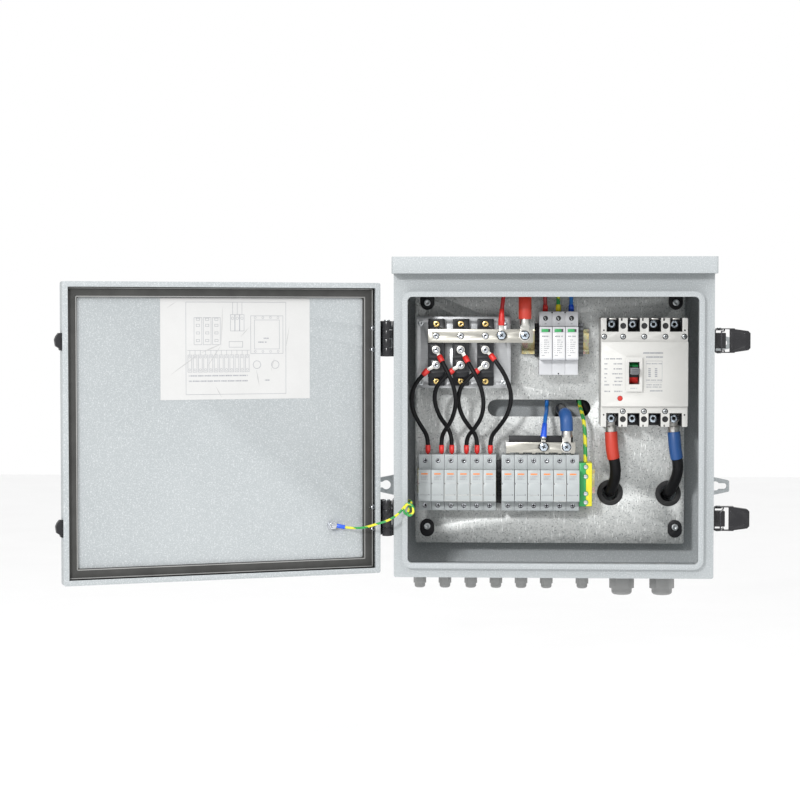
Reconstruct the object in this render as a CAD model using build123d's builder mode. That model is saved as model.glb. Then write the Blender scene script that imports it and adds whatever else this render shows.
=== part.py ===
"""Wall-mounted DC combiner box: sheet-steel cabinet, door, latches and the switchgear inside.

All sizes are millimetres. +X is to the right, +Z is up, and the wall is the plane Y = 0.
The front faces -Y. A "height" is a distance out from the wall, so it lies at Y = -height.
The origin is the centre of the four wall keyholes. The door and latches rest open.
"""

from build123d import *
import math
import os

os.makedirs("parts", exist_ok=True)

# Cabinet
BOX_W = 430
BOX_LOW = -213
BOX_TOP = 215
BOX_FRONT = 180
SHEET = 1.5
EAR_T = 2.5
CORNER_R = 3
OPEN_W = 389.7
OPEN_X = -1.15
OPEN_H = 358.6
OPEN_Z = -13.5
OPEN_R = 6
LIP_WALL = 7
LIP_TALL = 10
RUN_CLEAR = 0.05

# Rain hood
HOOD_W = 433
HOOD_BOTTOM = 196.5
HOOD_TOP = 219
HOOD_OUT = 210
HOOD_BACK_SKIRT = 10

# Wall ears with keyholes
EAR_HOLE_X = 235
EAR_HOLE_Z = 102
EAR_HOLE_R = 6.5
EAR_SLOT_R = 4
EAR_SLOT_OUT = 12
EAR_TIP_X = 255
EAR_ROOT_X = 195
EAR_ROOT_H = 33
EAR_TIP_H = 16

# Mounting plate
PLATE_W = 378.6
PLATE_H = 363
PLATE_X = -2.1
PLATE_Z = 1
PLATE_FRONT = 41
PLATE_T = 2
PLATE_FIX_X = 174.5
PLATE_FIX_Z = 158
SLOT_X = -16.7
SLOT_Z = 10.4
SLOT_LONG = 145
SLOT_TALL = 24
GROMMETS = [(83.5, -108.5), (165, -109.5)]
GROMMET_HOLE_R = 14

# Door, drawn closed and swung open about the hinge axis
DOOR_LOW = -207
DOOR_HIGH = 184.5
DOOR_OUT = 198
DOOR_BACK = 181
DOOR_RIM = 7
GASKET_OUT_X = 207.7
GASKET_IN_X = 194.5
GASKET_T = 6
HINGE_X = -224
HINGE_HEIGHT = 180
HINGE_Z = (109.4, -133)
HINGE_TALL = 48
HINGE_R = 6.5
PIN_R = 2.5
DOOR_OPEN = 157.5
NUT_X = -207.5
NUT_PITCH = 29

# Draw latches
LATCH_Z = (107, -133)
LEVER_X = 222.5
LEVER_HEIGHT = 162
CRANK = 7
BAIL_REACH = 40.65
BAIL_LEAN = 11.2
BAIL_Z = 12.5
BAIL_R = 1
BAIL_BEND = 2
TAB_IN = 13.7
TAB_T = 1.3
CHEEK_IN = 15.2
CHEEK_T = 1.3
KEEPER_TALL = 22.4
KEEPER_OUT = 9

# Heat sink and blocking diodes
SINK_X = (-189.5, -57)
SINK_Z = (40, 139.5)
SINK_FRONT = 81
SINK_BASE_T = 8
FIN_T = 2
FIN_COUNT = 9
DIODE_X = (-160, -126, -92)
DIODE_W = 23
DIODE_Z = (43.3, 136.3)
DIODE_BLOCK_Z = (56, 121.5)
DIODE_SLAB = 90
DIODE_TOP = 106
PAD_T = 2
COMMON_Z = 112.7
ANODE_Z = (93.5, 72.5)
BRASS_Z = (129, 49.5)
SINK_SCREWS = [(-182.2, 130.5), (-182.2, 47.5), (-66.5, 130.5), (-66.5, 47.5)]

# Busbars
BAR_T = 3
POS_BAR_X = (-171, -26.5)
POS_BAR_Z = (103.4, 122)
POS_BOLTS = [(-69.8, 113.5), (-37.7, 113.5)]
NEG_BAR_X = (-63, 33)
NEG_BAR_Z = (-49.5, -35.5)
NEG_RAIL_X = (-59.4, 29.8)
NEG_BAR_HEIGHT = 84
NEG_BOLTS = [(-10.9, -41.5), (20.6, -41.5)]

# Rails and what sits on them
RAIL_W = 35
RAIL_TALL = 7.5
RAIL_T = 1
SPD_RAIL_X = (-41.5, 53)
SPD_RAIL_Z = 104.3
FUSE_RAIL_X = (-188, 62)
FUSE_RAIL_Z = -92
MODULE = 18
SPD_X = 9.1
SPD_Z = (58.5, 146.4)
SPD_NOSE_Z = (79.8, 125.6)
SPD_SHOULDER = 88
SPD_NOSE = 110
SPD_FLOOR = 62
FUSE_SETS = (-176, -60.6)
FUSE_COUNT = 6
FUSE_Z = (-131, -53)
NOSE_Z = (-117, -73)
FUSE_SHOULDER = 82
FUSE_NOSE = 106
FUSE_PIVOT_Z = -113
FUSE_PIVOT_HEIGHT = 86
WIRE_HEIGHT = 70

# Moulded-case breaker
MCCB_X = 126.5
MCCB_W = 119
MCCB_Z = (-12.5, 137.5)
MCCB_SPLIT = 86
MCCB_STEP = 104
MCCB_FRONT = 112
POLE = 29
POLE_BOLT_Z = (128.7, -2)
WELL_W = 17
WELL_FLOOR = 64
HANDLE_X = 112
HANDLE_Z = 61.6
BUTTON_X = 93
BUTTON_Z = 27

# Cable glands
GLAND_HEIGHT = 90
SMALL_GLANDS = (-183, -148, -112, -77, -42, -7, 42.5)
LARGE_GLANDS = (97.5, 153)

# Wires and cables
STRING_D = 6
LEAD_D = 5.5
POWER_D = 15.5
EARTH_D = 4


def at(x, height, z):
    """A point at a height out from the wall."""
    return Vector(x, -height, z)


def facing(x, height, z, x_dir=(1, 0, 0)):
    """A plane parallel to the wall whose normal points out into the room."""
    return Plane(origin=(x, -height, z), x_dir=x_dir, z_dir=(0, -1, 0))


def slab(x, z, heights, radius=0):
    """A block between two X, two Z and two heights, with its upright edges rounded."""
    with BuildPart() as block:
        with BuildSketch(facing((x[0] + x[1]) / 2, heights[0], (z[0] + z[1]) / 2)):
            if radius:
                RectangleRounded(x[1] - x[0], z[1] - z[0], radius)
            else:
                Rectangle(x[1] - x[0], z[1] - z[0])
        extrude(amount=heights[1] - heights[0])
    return block.part


def disc(x, z, heights, radius, hole=0):
    """A round piece whose axis points out from the wall."""
    with BuildPart() as piece:
        with BuildSketch(facing(x, heights[0], z)):
            Circle(radius)
            if hole:
                Circle(hole, mode=Mode.SUBTRACT)
        extrude(amount=heights[1] - heights[0])
    return piece.part


def screw(plane, head_r, head_h, shank_r, shank_long, hex_r=0, cross=0):
    """A screw whose head stands on the plane and whose shank runs back from it."""
    with BuildPart() as body:
        with BuildSketch(plane):
            Circle(head_r)
        extrude(amount=head_h)
        with BuildSketch(plane):
            Circle(shank_r)
        extrude(amount=-shank_long)
        if hex_r:
            with BuildSketch(plane.offset(head_h)):
                RegularPolygon(hex_r, 6)
            extrude(amount=-head_h * 0.6, mode=Mode.SUBTRACT)
        if cross:
            with BuildSketch(plane.offset(head_h)):
                Rectangle(cross * 2, cross / 2)
                Rectangle(cross / 2, cross * 2)
            extrude(amount=-head_h * 0.4, mode=Mode.SUBTRACT)
    return body.part


def save(name, *shapes):
    """Write one node: a single piece, or a group of separate solids."""
    piece = shapes[0] if len(shapes) == 1 else Compound(children=list(shapes))
    piece.label = name
    export_step(piece, f"parts/{name}.step")


def swing(shape, x, height, angle):
    """Turn a shape about an upright axis."""
    return shape.rotate(Axis((x, -height, 0), (0, 0, 1)), angle)


# ---------------------------------------------------------------- cabinet


def box_body():
    lip_w, lip_h = OPEN_W + 2 * LIP_WALL, OPEN_H + 2 * LIP_WALL
    mid, tall = (BOX_LOW + BOX_TOP) / 2, BOX_TOP - BOX_LOW
    with BuildPart() as body:
        with BuildSketch(facing(0, EAR_T, mid)):
            RectangleRounded(BOX_W, tall, CORNER_R)
        extrude(amount=BOX_FRONT - EAR_T)
        with BuildSketch(facing(0, EAR_T + SHEET, mid)):
            RectangleRounded(BOX_W - 2 * SHEET, tall - 2 * SHEET, CORNER_R - SHEET)
        extrude(amount=BOX_FRONT - EAR_T - 2 * SHEET, mode=Mode.SUBTRACT)
        with BuildSketch(facing(OPEN_X, BOX_FRONT, OPEN_Z)):
            RectangleRounded(lip_w, lip_h, OPEN_R + LIP_WALL)
        extrude(amount=LIP_TALL)
        with BuildSketch(facing(OPEN_X, BOX_FRONT - SHEET, OPEN_Z)):
            RectangleRounded(OPEN_W, OPEN_H, OPEN_R)
        extrude(amount=SHEET + LIP_TALL, mode=Mode.SUBTRACT)
        # the lip is folded from the sheet, so it is hollow from behind
        with BuildSketch(facing(OPEN_X, BOX_FRONT - SHEET, OPEN_Z)):
            RectangleRounded(lip_w - 2 * SHEET, lip_h - 2 * SHEET, OPEN_R + LIP_WALL - SHEET)
            RectangleRounded(OPEN_W + 2 * SHEET, OPEN_H + 2 * SHEET, OPEN_R + SHEET, mode=Mode.SUBTRACT)
        extrude(amount=LIP_TALL, mode=Mode.SUBTRACT)
        with BuildSketch(Plane.XY.offset(BOX_LOW)):
            with Locations([(x, -GLAND_HEIGHT) for x in SMALL_GLANDS]):
                Circle(GLAND_SMALL["thread"] + RUN_CLEAR)
            with Locations([(x, -GLAND_HEIGHT) for x in LARGE_GLANDS]):
                Circle(GLAND_LARGE["thread"] + RUN_CLEAR)
        extrude(amount=SHEET, mode=Mode.SUBTRACT)
        with BuildSketch(Plane.YZ.offset(-BOX_W / 2)):
            with Locations([(-HINGE_SCREW_HEIGHT, z + dz) for z in HINGE_Z for dz in SCREW_DZ]):
                Circle(SIDE_SCREW_R + RUN_CLEAR)
        extrude(amount=SHEET, mode=Mode.SUBTRACT)
        with BuildSketch(Plane.YZ.offset(BOX_W / 2)):
            with Locations([(-LATCH_SCREW_HEIGHT, z + dz) for z in LATCH_Z for dz in LATCH_SCREW_DZ]):
                Circle(SIDE_SCREW_R + RUN_CLEAR)
        extrude(amount=-SHEET, mode=Mode.SUBTRACT)
    return body.part


def rain_hood():
    half = HOOD_W / 2
    with BuildPart() as hood:
        # side view: deep at the front lip, shallow at the wall
        with BuildSketch(Plane.YZ.offset(-half)):
            with BuildLine():
                Polyline(
                    (-HOOD_OUT, HOOD_BOTTOM),
                    (-HOOD_OUT, HOOD_TOP),
                    (-EAR_T, HOOD_TOP),
                    (-EAR_T, HOOD_TOP - HOOD_BACK_SKIRT),
                    (-BOX_FRONT, HOOD_BOTTOM),
                    close=True,
                )
            make_face()
        extrude(amount=HOOD_W)
        fillet(hood.edges().filter_by(Axis.Z).group_by(Axis.Y)[0], CORNER_R)
        with BuildSketch(Plane.XY.offset(BOX_TOP - HOOD_OUT)):
            with Locations((0, -(HOOD_OUT - SHEET) / 2)):
                Rectangle(HOOD_W - 2 * SHEET, HOOD_OUT - SHEET)
        extrude(amount=HOOD_OUT, mode=Mode.SUBTRACT)
    return hood.part


def mounting_ears():
    ears = []
    for side in (-1, 1):
        for z in (-EAR_HOLE_Z, EAR_HOLE_Z):
            with BuildPart() as ear:
                with BuildSketch(facing(0, 0, z)):
                    with BuildLine():
                        Polyline(
                            (side * EAR_ROOT_X, -EAR_ROOT_H / 2),
                            (side * BOX_W / 2, -EAR_ROOT_H / 2),
                            (side * EAR_TIP_X, -EAR_TIP_H / 2),
                            (side * EAR_TIP_X, EAR_TIP_H / 2),
                            (side * BOX_W / 2, EAR_ROOT_H / 2),
                            (side * EAR_ROOT_X, EAR_ROOT_H / 2),
                            close=True,
                        )
                    make_face()
                    with Locations((side * EAR_HOLE_X, 0)):
                        Circle(EAR_HOLE_R, mode=Mode.SUBTRACT)
                    with Locations((side * (EAR_HOLE_X + EAR_SLOT_OUT / 2), 0)):
                        SlotCenterToCenter(EAR_SLOT_OUT, 2 * EAR_SLOT_R, mode=Mode.SUBTRACT)
                extrude(amount=EAR_T)
                tip = ear.edges().filter_by(Axis.Y).group_by(Axis.X)[-1 if side > 0 else 0]
                fillet(tip, CORNER_R)
            ears.append(ear.part)
    return ears


STANDOFF_R = 6
PLATE_SCREW_R = 2.5
PLATE_SCREW_LONG = 18
SINK_SCREW_R = 2
CLAMP_T = 2
CLAMP_W = 20
CLAMP_TALL = 25


def fixings():
    return [(sx * PLATE_FIX_X, PLATE_Z + sz * PLATE_FIX_Z) for sx in (-1, 1) for sz in (-1, 1)]


def plate_standoffs():
    posts = []
    for x, z in fixings():
        with BuildPart() as post:
            with BuildSketch(facing(x, EAR_T + SHEET, z)):
                Circle(STANDOFF_R)
            extrude(amount=PLATE_FRONT - PLATE_T - EAR_T - SHEET)
            with BuildSketch(facing(x, PLATE_FRONT - PLATE_T, z)):
                Circle(PLATE_SCREW_R + RUN_CLEAR)
            extrude(amount=-PLATE_SCREW_LONG, mode=Mode.SUBTRACT)
        posts.append(post.part)
    return posts


def mounting_plate():
    with BuildPart() as plate:
        with BuildSketch(facing(0, PLATE_FRONT - PLATE_T, 0)):
            with Locations((PLATE_X, PLATE_Z)):
                RectangleRounded(PLATE_W, PLATE_H, CORNER_R)
            with Locations(fixings()):
                Circle(PLATE_SCREW_R + 2 * RUN_CLEAR, mode=Mode.SUBTRACT)
            with Locations((SLOT_X, SLOT_Z)):
                SlotOverall(SLOT_LONG, SLOT_TALL, mode=Mode.SUBTRACT)
            with Locations(GROMMETS):
                Circle(GROMMET_HOLE_R, mode=Mode.SUBTRACT)
            with Locations(SINK_SCREWS):
                Circle(SINK_SCREW_R + RUN_CLEAR, mode=Mode.SUBTRACT)
        extrude(amount=PLATE_T)
    return plate.part


def plate_clamps():
    """Black oblong washers over the plate's fixings, longer away from the middle."""
    washers = []
    shift = (CLAMP_TALL - CLAMP_W) / 2
    for x, z in fixings():
        away = shift if z > 0 else -shift
        with BuildPart() as washer:
            with BuildSketch(facing(x, PLATE_FRONT, z)):
                with Locations((0, away)):
                    SlotOverall(CLAMP_TALL, CLAMP_W, rotation=90)
                Circle(PLATE_SCREW_R + 2 * RUN_CLEAR, mode=Mode.SUBTRACT)
            extrude(amount=CLAMP_T)
        washers.append(washer.part)
    return washers


def plate_screws():
    height = PLATE_FRONT + CLAMP_T
    screws = [
        screw(facing(x, height, z), 4.5, 5, PLATE_SCREW_R, height - 25, hex_r=2.4)
        for x, z in fixings()
    ]
    shank = SINK_FRONT - PLATE_FRONT + PLATE_T
    screws += [
        screw(facing(x, SINK_FRONT, z), 3.8, 3, SINK_SCREW_R, shank, cross=1.8)
        for x, z in SINK_SCREWS
    ]
    return screws


GROMMET_OUT_R = 18
GROMMET_IN_R = 11.3
GROMMET_LIP = 2


def cable_grommets():
    rings = []
    for x, z in GROMMETS:
        with BuildPart() as ring:
            with BuildSketch(facing(x, PLATE_FRONT - PLATE_T - GROMMET_LIP, z)):
                Circle(GROMMET_OUT_R)
            extrude(amount=GROMMET_LIP)
            with BuildSketch(facing(x, PLATE_FRONT - PLATE_T, z)):
                Circle(GROMMET_HOLE_R - RUN_CLEAR)
            extrude(amount=PLATE_T)
            with BuildSketch(facing(x, PLATE_FRONT, z)):
                Circle(GROMMET_OUT_R)
            extrude(amount=GROMMET_LIP)
            front = ring.faces().sort_by(Axis.Y)[0].edges().filter_by(GeomType.CIRCLE)
            fillet(front, GROMMET_LIP / 2)
            with BuildSketch(facing(x, PLATE_FRONT - PLATE_T - GROMMET_LIP, z)):
                Circle(GROMMET_IN_R)
            extrude(amount=PLATE_T + 2 * GROMMET_LIP, mode=Mode.SUBTRACT)
        rings.append(ring.part)
    return rings


# ---------------------------------------------------------------- hinges and door

LEAF_T = 2.5
LEAF_BACK = 143
LEAF_FRONT = 172
ARM_BACK = 168
HINGE_SCREW_HEIGHT = 154
SIDE_SCREW_R = 2
SCREW_DZ = (-14.5, 14.5)
LATCH_SCREW_HEIGHT = 150
LATCH_SCREW_DZ = (-7, 7)
DOOR_LEAF_T = 2.5
DOOR_ARM_T = 3
DOOR_LEAF_END = -199
SEGMENT = HINGE_TALL / 4
SEGMENT_GAP = 0.4


def segment_z(centre, index):
    """Bottom and top of one of the four knuckles, counted from the top."""
    top = centre + HINGE_TALL / 2 - index * SEGMENT
    return top - SEGMENT + SEGMENT_GAP / 2, top - SEGMENT_GAP / 2


def knuckles(centre, indices, arm):
    """Knuckles of one leaf with the arms that carry them; arm is (x0, x1, height0, height1)."""
    with BuildPart() as group:
        for index in indices:
            low, high = segment_z(centre, index)
            with BuildSketch(Plane.XY.offset(low)):
                with Locations((HINGE_X, -HINGE_HEIGHT)):
                    Circle(HINGE_R)
                with Locations(((arm[0] + arm[1]) / 2, -(arm[2] + arm[3]) / 2)):
                    Rectangle(arm[1] - arm[0], arm[3] - arm[2])
                with Locations((HINGE_X, -HINGE_HEIGHT)):
                    Circle(PIN_R + RUN_CLEAR, mode=Mode.SUBTRACT)
            extrude(amount=high - low)
    return group.part


def hinge_body_leaves():
    leaves = []
    wall = -BOX_W / 2
    for centre in HINGE_Z:
        barrel = knuckles(centre, (1, 3), (HINGE_X, wall - LEAF_T + 0.5, ARM_BACK, HINGE_HEIGHT))
        with BuildPart() as leaf:
            with BuildSketch(Plane.XY.offset(centre - HINGE_TALL / 2)):
                with Locations((wall - LEAF_T / 2, -(LEAF_BACK + LEAF_FRONT) / 2)):
                    Rectangle(LEAF_T, LEAF_FRONT - LEAF_BACK)
            extrude(amount=HINGE_TALL)
            add(barrel)
            with BuildSketch(Plane.YZ.offset(wall - LEAF_T)):
                with Locations([(-HINGE_SCREW_HEIGHT, centre + dz) for dz in SCREW_DZ]):
                    Circle(SIDE_SCREW_R + RUN_CLEAR)
            extrude(amount=LEAF_T, mode=Mode.SUBTRACT)
        leaves.append(leaf.part)
    return leaves


def hinge_door_leaves():
    leaves = []
    left = HINGE_X - HINGE_R
    for centre in HINGE_Z:
        barrel = knuckles(centre, (0, 2), (left, left + DOOR_ARM_T, HINGE_HEIGHT, DOOR_OUT + DOOR_LEAF_T))
        with BuildPart() as leaf:
            with BuildSketch(Plane.XY.offset(centre - HINGE_TALL / 2)):
                with Locations(((left + DOOR_LEAF_END) / 2, -(DOOR_OUT + DOOR_LEAF_T / 2))):
                    Rectangle(DOOR_LEAF_END - left, DOOR_LEAF_T)
            extrude(amount=HINGE_TALL)
            add(barrel)
            with BuildSketch(facing(NUT_X, DOOR_OUT, centre)):
                with Locations([(0, dz) for dz in SCREW_DZ]):
                    Circle(SIDE_SCREW_R + RUN_CLEAR)
            extrude(amount=DOOR_LEAF_T, mode=Mode.SUBTRACT)
        leaves.append(leaf.part)
    return leaves


def hinge_pins():
    pins = []
    for centre in HINGE_Z:
        with BuildPart() as pin:
            with BuildSketch(Plane.XY.offset(centre - HINGE_TALL / 2)):
                with Locations((HINGE_X, -HINGE_HEIGHT)):
                    Circle(PIN_R)
            extrude(amount=HINGE_TALL)
            with BuildSketch(Plane.XY.offset(centre + HINGE_TALL / 2)):
                with Locations((HINGE_X, -HINGE_HEIGHT)):
                    Circle(PIN_R + 1.5)
            extrude(amount=1.5)
        pins.append(pin.part)
    return pins


NUT_R = 3.5
NUT_H = 3


def side_screws():
    """Screws through the side walls for the hinge leaves and latch bases, with nuts inside."""
    pieces = []
    hinge_face = -BOX_W / 2 - LEAF_T
    latch_face = BOX_W / 2 + BASE_T
    spots = [(hinge_face, HINGE_SCREW_HEIGHT, z + dz, -1) for z in HINGE_Z for dz in SCREW_DZ]
    spots += [(latch_face, LATCH_SCREW_HEIGHT, z + dz, 1) for z in LATCH_Z for dz in LATCH_SCREW_DZ]
    for x, height, z, side in spots:
        plane = Plane(origin=(x, -height, z), x_dir=(0, 1, 0), z_dir=(side, 0, 0))
        wall = abs(x) - BOX_W / 2 + SHEET
        pieces.append(screw(plane, 3.6, 1.2, SIDE_SCREW_R, wall + NUT_H + 1, cross=1.6))
        with BuildPart() as nut:
            with BuildSketch(plane.offset(-wall)):
                RegularPolygon(NUT_R, 6, major_radius=False)
                Circle(SIDE_SCREW_R + RUN_CLEAR, mode=Mode.SUBTRACT)
            extrude(amount=-NUT_H)
        pieces.append(nut.part)
    return pieces


def door_panel():
    width = BOX_W
    mid = (DOOR_LOW + DOOR_HIGH) / 2
    tall = DOOR_HIGH - DOOR_LOW
    with BuildPart() as door:
        with BuildSketch(facing(0, DOOR_BACK, mid)):
            RectangleRounded(width, tall, CORNER_R)
        extrude(amount=DOOR_OUT - DOOR_BACK)
        with BuildSketch(facing(0, DOOR_BACK, mid)):
            Rectangle(width - 2 * DOOR_RIM, tall - 2 * DOOR_RIM)
        extrude(amount=SHEET, mode=Mode.SUBTRACT)
        with BuildSketch(facing(0, DOOR_BACK + SHEET, mid)):
            Rectangle(width - 2 * SHEET, tall - 2 * SHEET)
        extrude(amount=DOOR_OUT - DOOR_BACK - 2 * SHEET, mode=Mode.SUBTRACT)
        with BuildSketch(facing(0, DOOR_OUT - SHEET, 0)):
            with Locations([(NUT_X, z + dz) for z in HINGE_Z for dz in SCREW_DZ]):
                Circle(SIDE_SCREW_R + RUN_CLEAR)
        extrude(amount=SHEET, mode=Mode.SUBTRACT)
    return door.part


def door_gasket():
    low = DOOR_LOW + BOX_W / 2 - GASKET_OUT_X
    high = DOOR_HIGH - BOX_W / 2 + GASKET_OUT_X
    mid = (low + high) / 2
    width = GASKET_OUT_X - GASKET_IN_X
    skin = DOOR_OUT - SHEET
    with BuildPart() as gasket:
        with BuildSketch(facing(0, skin - GASKET_T, mid)):
            Rectangle(2 * GASKET_OUT_X, high - low)
            RectangleRounded(2 * GASKET_IN_X, high - low - 2 * width, 3, mode=Mode.SUBTRACT)
        extrude(amount=GASKET_T)
        with BuildSketch(facing(0, skin - GASKET_T, 0)):
            with Locations([(NUT_X, z + dz) for z in HINGE_Z for dz in SCREW_DZ]):
                Circle(NUT_R * 1.3)
        extrude(amount=GASKET_T, mode=Mode.SUBTRACT)
    return gasket.part


def hinge_door_fasteners():
    """Screws through the door leaf and the door, with cap nuts inside."""
    pieces = []
    skin = DOOR_OUT - SHEET
    for centre in HINGE_Z:
        for dz in SCREW_DZ:
            plane = facing(NUT_X, DOOR_OUT + DOOR_LEAF_T, centre + dz)
            pieces.append(screw(plane, 3.6, 1.5, SIDE_SCREW_R, DOOR_LEAF_T + SHEET + 4, cross=1.6))
            with BuildPart() as nut:
                with BuildSketch(facing(NUT_X, skin, centre + dz)):
                    RegularPolygon(NUT_R, 6, major_radius=False)
                extrude(amount=-NUT_H)
                with BuildSketch(facing(NUT_X, skin - NUT_H, centre + dz)):
                    Circle(NUT_R - 0.2)
                extrude(amount=-3.5)
                fillet(nut.faces().sort_by(Axis.Y)[-1].edges(), 2.5)
                with BuildSketch(facing(NUT_X, skin, centre + dz)):
                    Circle(SIDE_SCREW_R + RUN_CLEAR)
                extrude(amount=-4.5, mode=Mode.SUBTRACT)
            pieces.append(nut.part)
    return pieces


def latch_keepers():
    """D-shaped catches on the door's free edge that the latch bails hook round."""
    keepers = []
    edge = BOX_W / 2
    for z in LATCH_Z:
        with BuildPart() as keeper:
            with BuildSketch(facing(edge, 183, z)):
                with BuildLine():
                    Polyline(
                        (0, -KEEPER_TALL / 2),
                        (2.5, -KEEPER_TALL / 2),
                        (3.5, -KEEPER_TALL / 2 + 3),
                        (KEEPER_OUT - 1.2, -KEEPER_TALL / 4),
                        (KEEPER_OUT, KEEPER_TALL / 8),
                        (KEEPER_OUT - 1.8, KEEPER_TALL / 4 + 1.5),
                        (4, KEEPER_TALL / 2),
                        (0, KEEPER_TALL / 2),
                        close=True,
                    )
                make_face()
            extrude(amount=10)
            upright = keeper.edges().filter_by(Axis.Y).group_by(Axis.X)[1:]
            fillet([edge_ for group in upright for edge_ in group], 0.8)
            with BuildSketch(facing(edge, 193, z)):
                with Locations((KEEPER_OUT / 2 + 0.5, 0)):
                    SlotOverall(KEEPER_TALL / 2, 2.6, rotation=90)
            extrude(amount=-1.5, mode=Mode.SUBTRACT)
        keepers.append(keeper.part)
    return keepers


SHEET_X = (-120, 84)
DIAGRAM_Z = (30, 163.5)
DIAGRAM_T = 0.3
STUD_X = -150
STUD_Z = -141


def wiring_diagram():
    skin = DOOR_OUT - SHEET
    return slab(SHEET_X, DIAGRAM_Z, (skin - DIAGRAM_T, skin))


def door_earth_stud():
    """Welded stud with a washer, nut and the ring lug of the earth wire."""
    skin = DOOR_OUT - SHEET
    with BuildPart() as stud:
        with BuildSketch(facing(STUD_X, skin, STUD_Z)):
            Circle(3)
        extrude(amount=-12)
    with BuildPart() as nut:
        with BuildSketch(facing(STUD_X, skin - 4, STUD_Z)):
            RegularPolygon(5, 6, major_radius=False)
            Circle(3 + RUN_CLEAR, mode=Mode.SUBTRACT)
        extrude(amount=-5)
    with BuildPart() as washer:
        with BuildSketch(facing(STUD_X, skin, STUD_Z)):
            Circle(6)
            Circle(3 + RUN_CLEAR, mode=Mode.SUBTRACT)
        extrude(amount=-2)
    with BuildPart() as ring:
        with BuildSketch(facing(STUD_X, skin - 2, STUD_Z)):
            Circle(5.5)
            with Locations((-4, 0)):
                Rectangle(5, 6)
            Circle(3 + RUN_CLEAR, mode=Mode.SUBTRACT)
        extrude(amount=-2)
    return [stud.part, nut.part, washer.part, ring.part]


BARREL_GAP = 0.4


def door_lug_barrel():
    """Sleeved barrel of the earth lug, bent up off the open door towards its wire."""
    start, end = at(*DOOR_LUG), at(*DOOR_LEAD[0])
    with BuildPart() as barrel:
        with BuildSketch(Plane(origin=start, z_dir=end - start)):
            Circle(2.8)
        extrude(amount=(end - start).length - BARREL_GAP)
    return barrel.part


# ---------------------------------------------------------------- latches

BASE_T = 2
BASE_BACK = 143
BASE_FRONT = 175
LEVER_END = 264
WEB_START = 236
LEVER_FRONT = 168
LEVER_BACK = 156
TIP_HALF = 13
EYE_R = 5
RIVET_R = 1.8
HOUSING_OUT = 231
HOUSING_HALF = 10.5
HOUSING_HEIGHTS = (154.3, 170)


def latch_bases():
    bases = []
    wall = BOX_W / 2
    for z in LATCH_Z:
        with BuildPart() as base:
            with BuildSketch(Plane.YZ.offset(wall)):
                with Locations((-(BASE_BACK + BASE_FRONT) / 2, z)):
                    Rectangle(BASE_FRONT - BASE_BACK, 2 * (TAB_IN + TAB_T))
            extrude(amount=BASE_T)
            for low in (z - TAB_IN - TAB_T, z + TAB_IN):
                with BuildSketch(Plane.XY.offset(low)):
                    with Locations((LEVER_X, -LEVER_HEIGHT)):
                        Circle(EYE_R)
                    with Locations(((wall + LEVER_X) / 2, -LEVER_HEIGHT)):
                        Rectangle(LEVER_X - wall, 2 * EYE_R)
                    with Locations((LEVER_X, -LEVER_HEIGHT)):
                        Circle(RIVET_R + RUN_CLEAR, mode=Mode.SUBTRACT)
                extrude(amount=TAB_T)
            # closed housing between the tabs, inside the sweep of the lever
            add(slab((wall + BASE_T, HOUSING_OUT), (z - HOUSING_HALF, z + HOUSING_HALF), HOUSING_HEIGHTS, 1))
            with BuildSketch(Plane.YZ.offset(wall)):
                with Locations([(-LATCH_SCREW_HEIGHT, z + dz) for dz in LATCH_SCREW_DZ]):
                    Circle(SIDE_SCREW_R + RUN_CLEAR)
            extrude(amount=BASE_T, mode=Mode.SUBTRACT)
        bases.append(base.part)
    return bases


def latch_rivets():
    rivets = []
    for z in LATCH_Z:
        for side in (-1, 1):
            out = Plane(
                origin=(LEVER_X, -LEVER_HEIGHT, z + side * (CHEEK_IN + CHEEK_T + RUN_CLEAR)),
                x_dir=(1, 0, 0),
                z_dir=(0, 0, side),
            )
            rivets.append(screw(out, RIVET_R + 1.2, 0.8, RIVET_R, TAB_T + CHEEK_T + 0.3))
    return rivets


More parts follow.
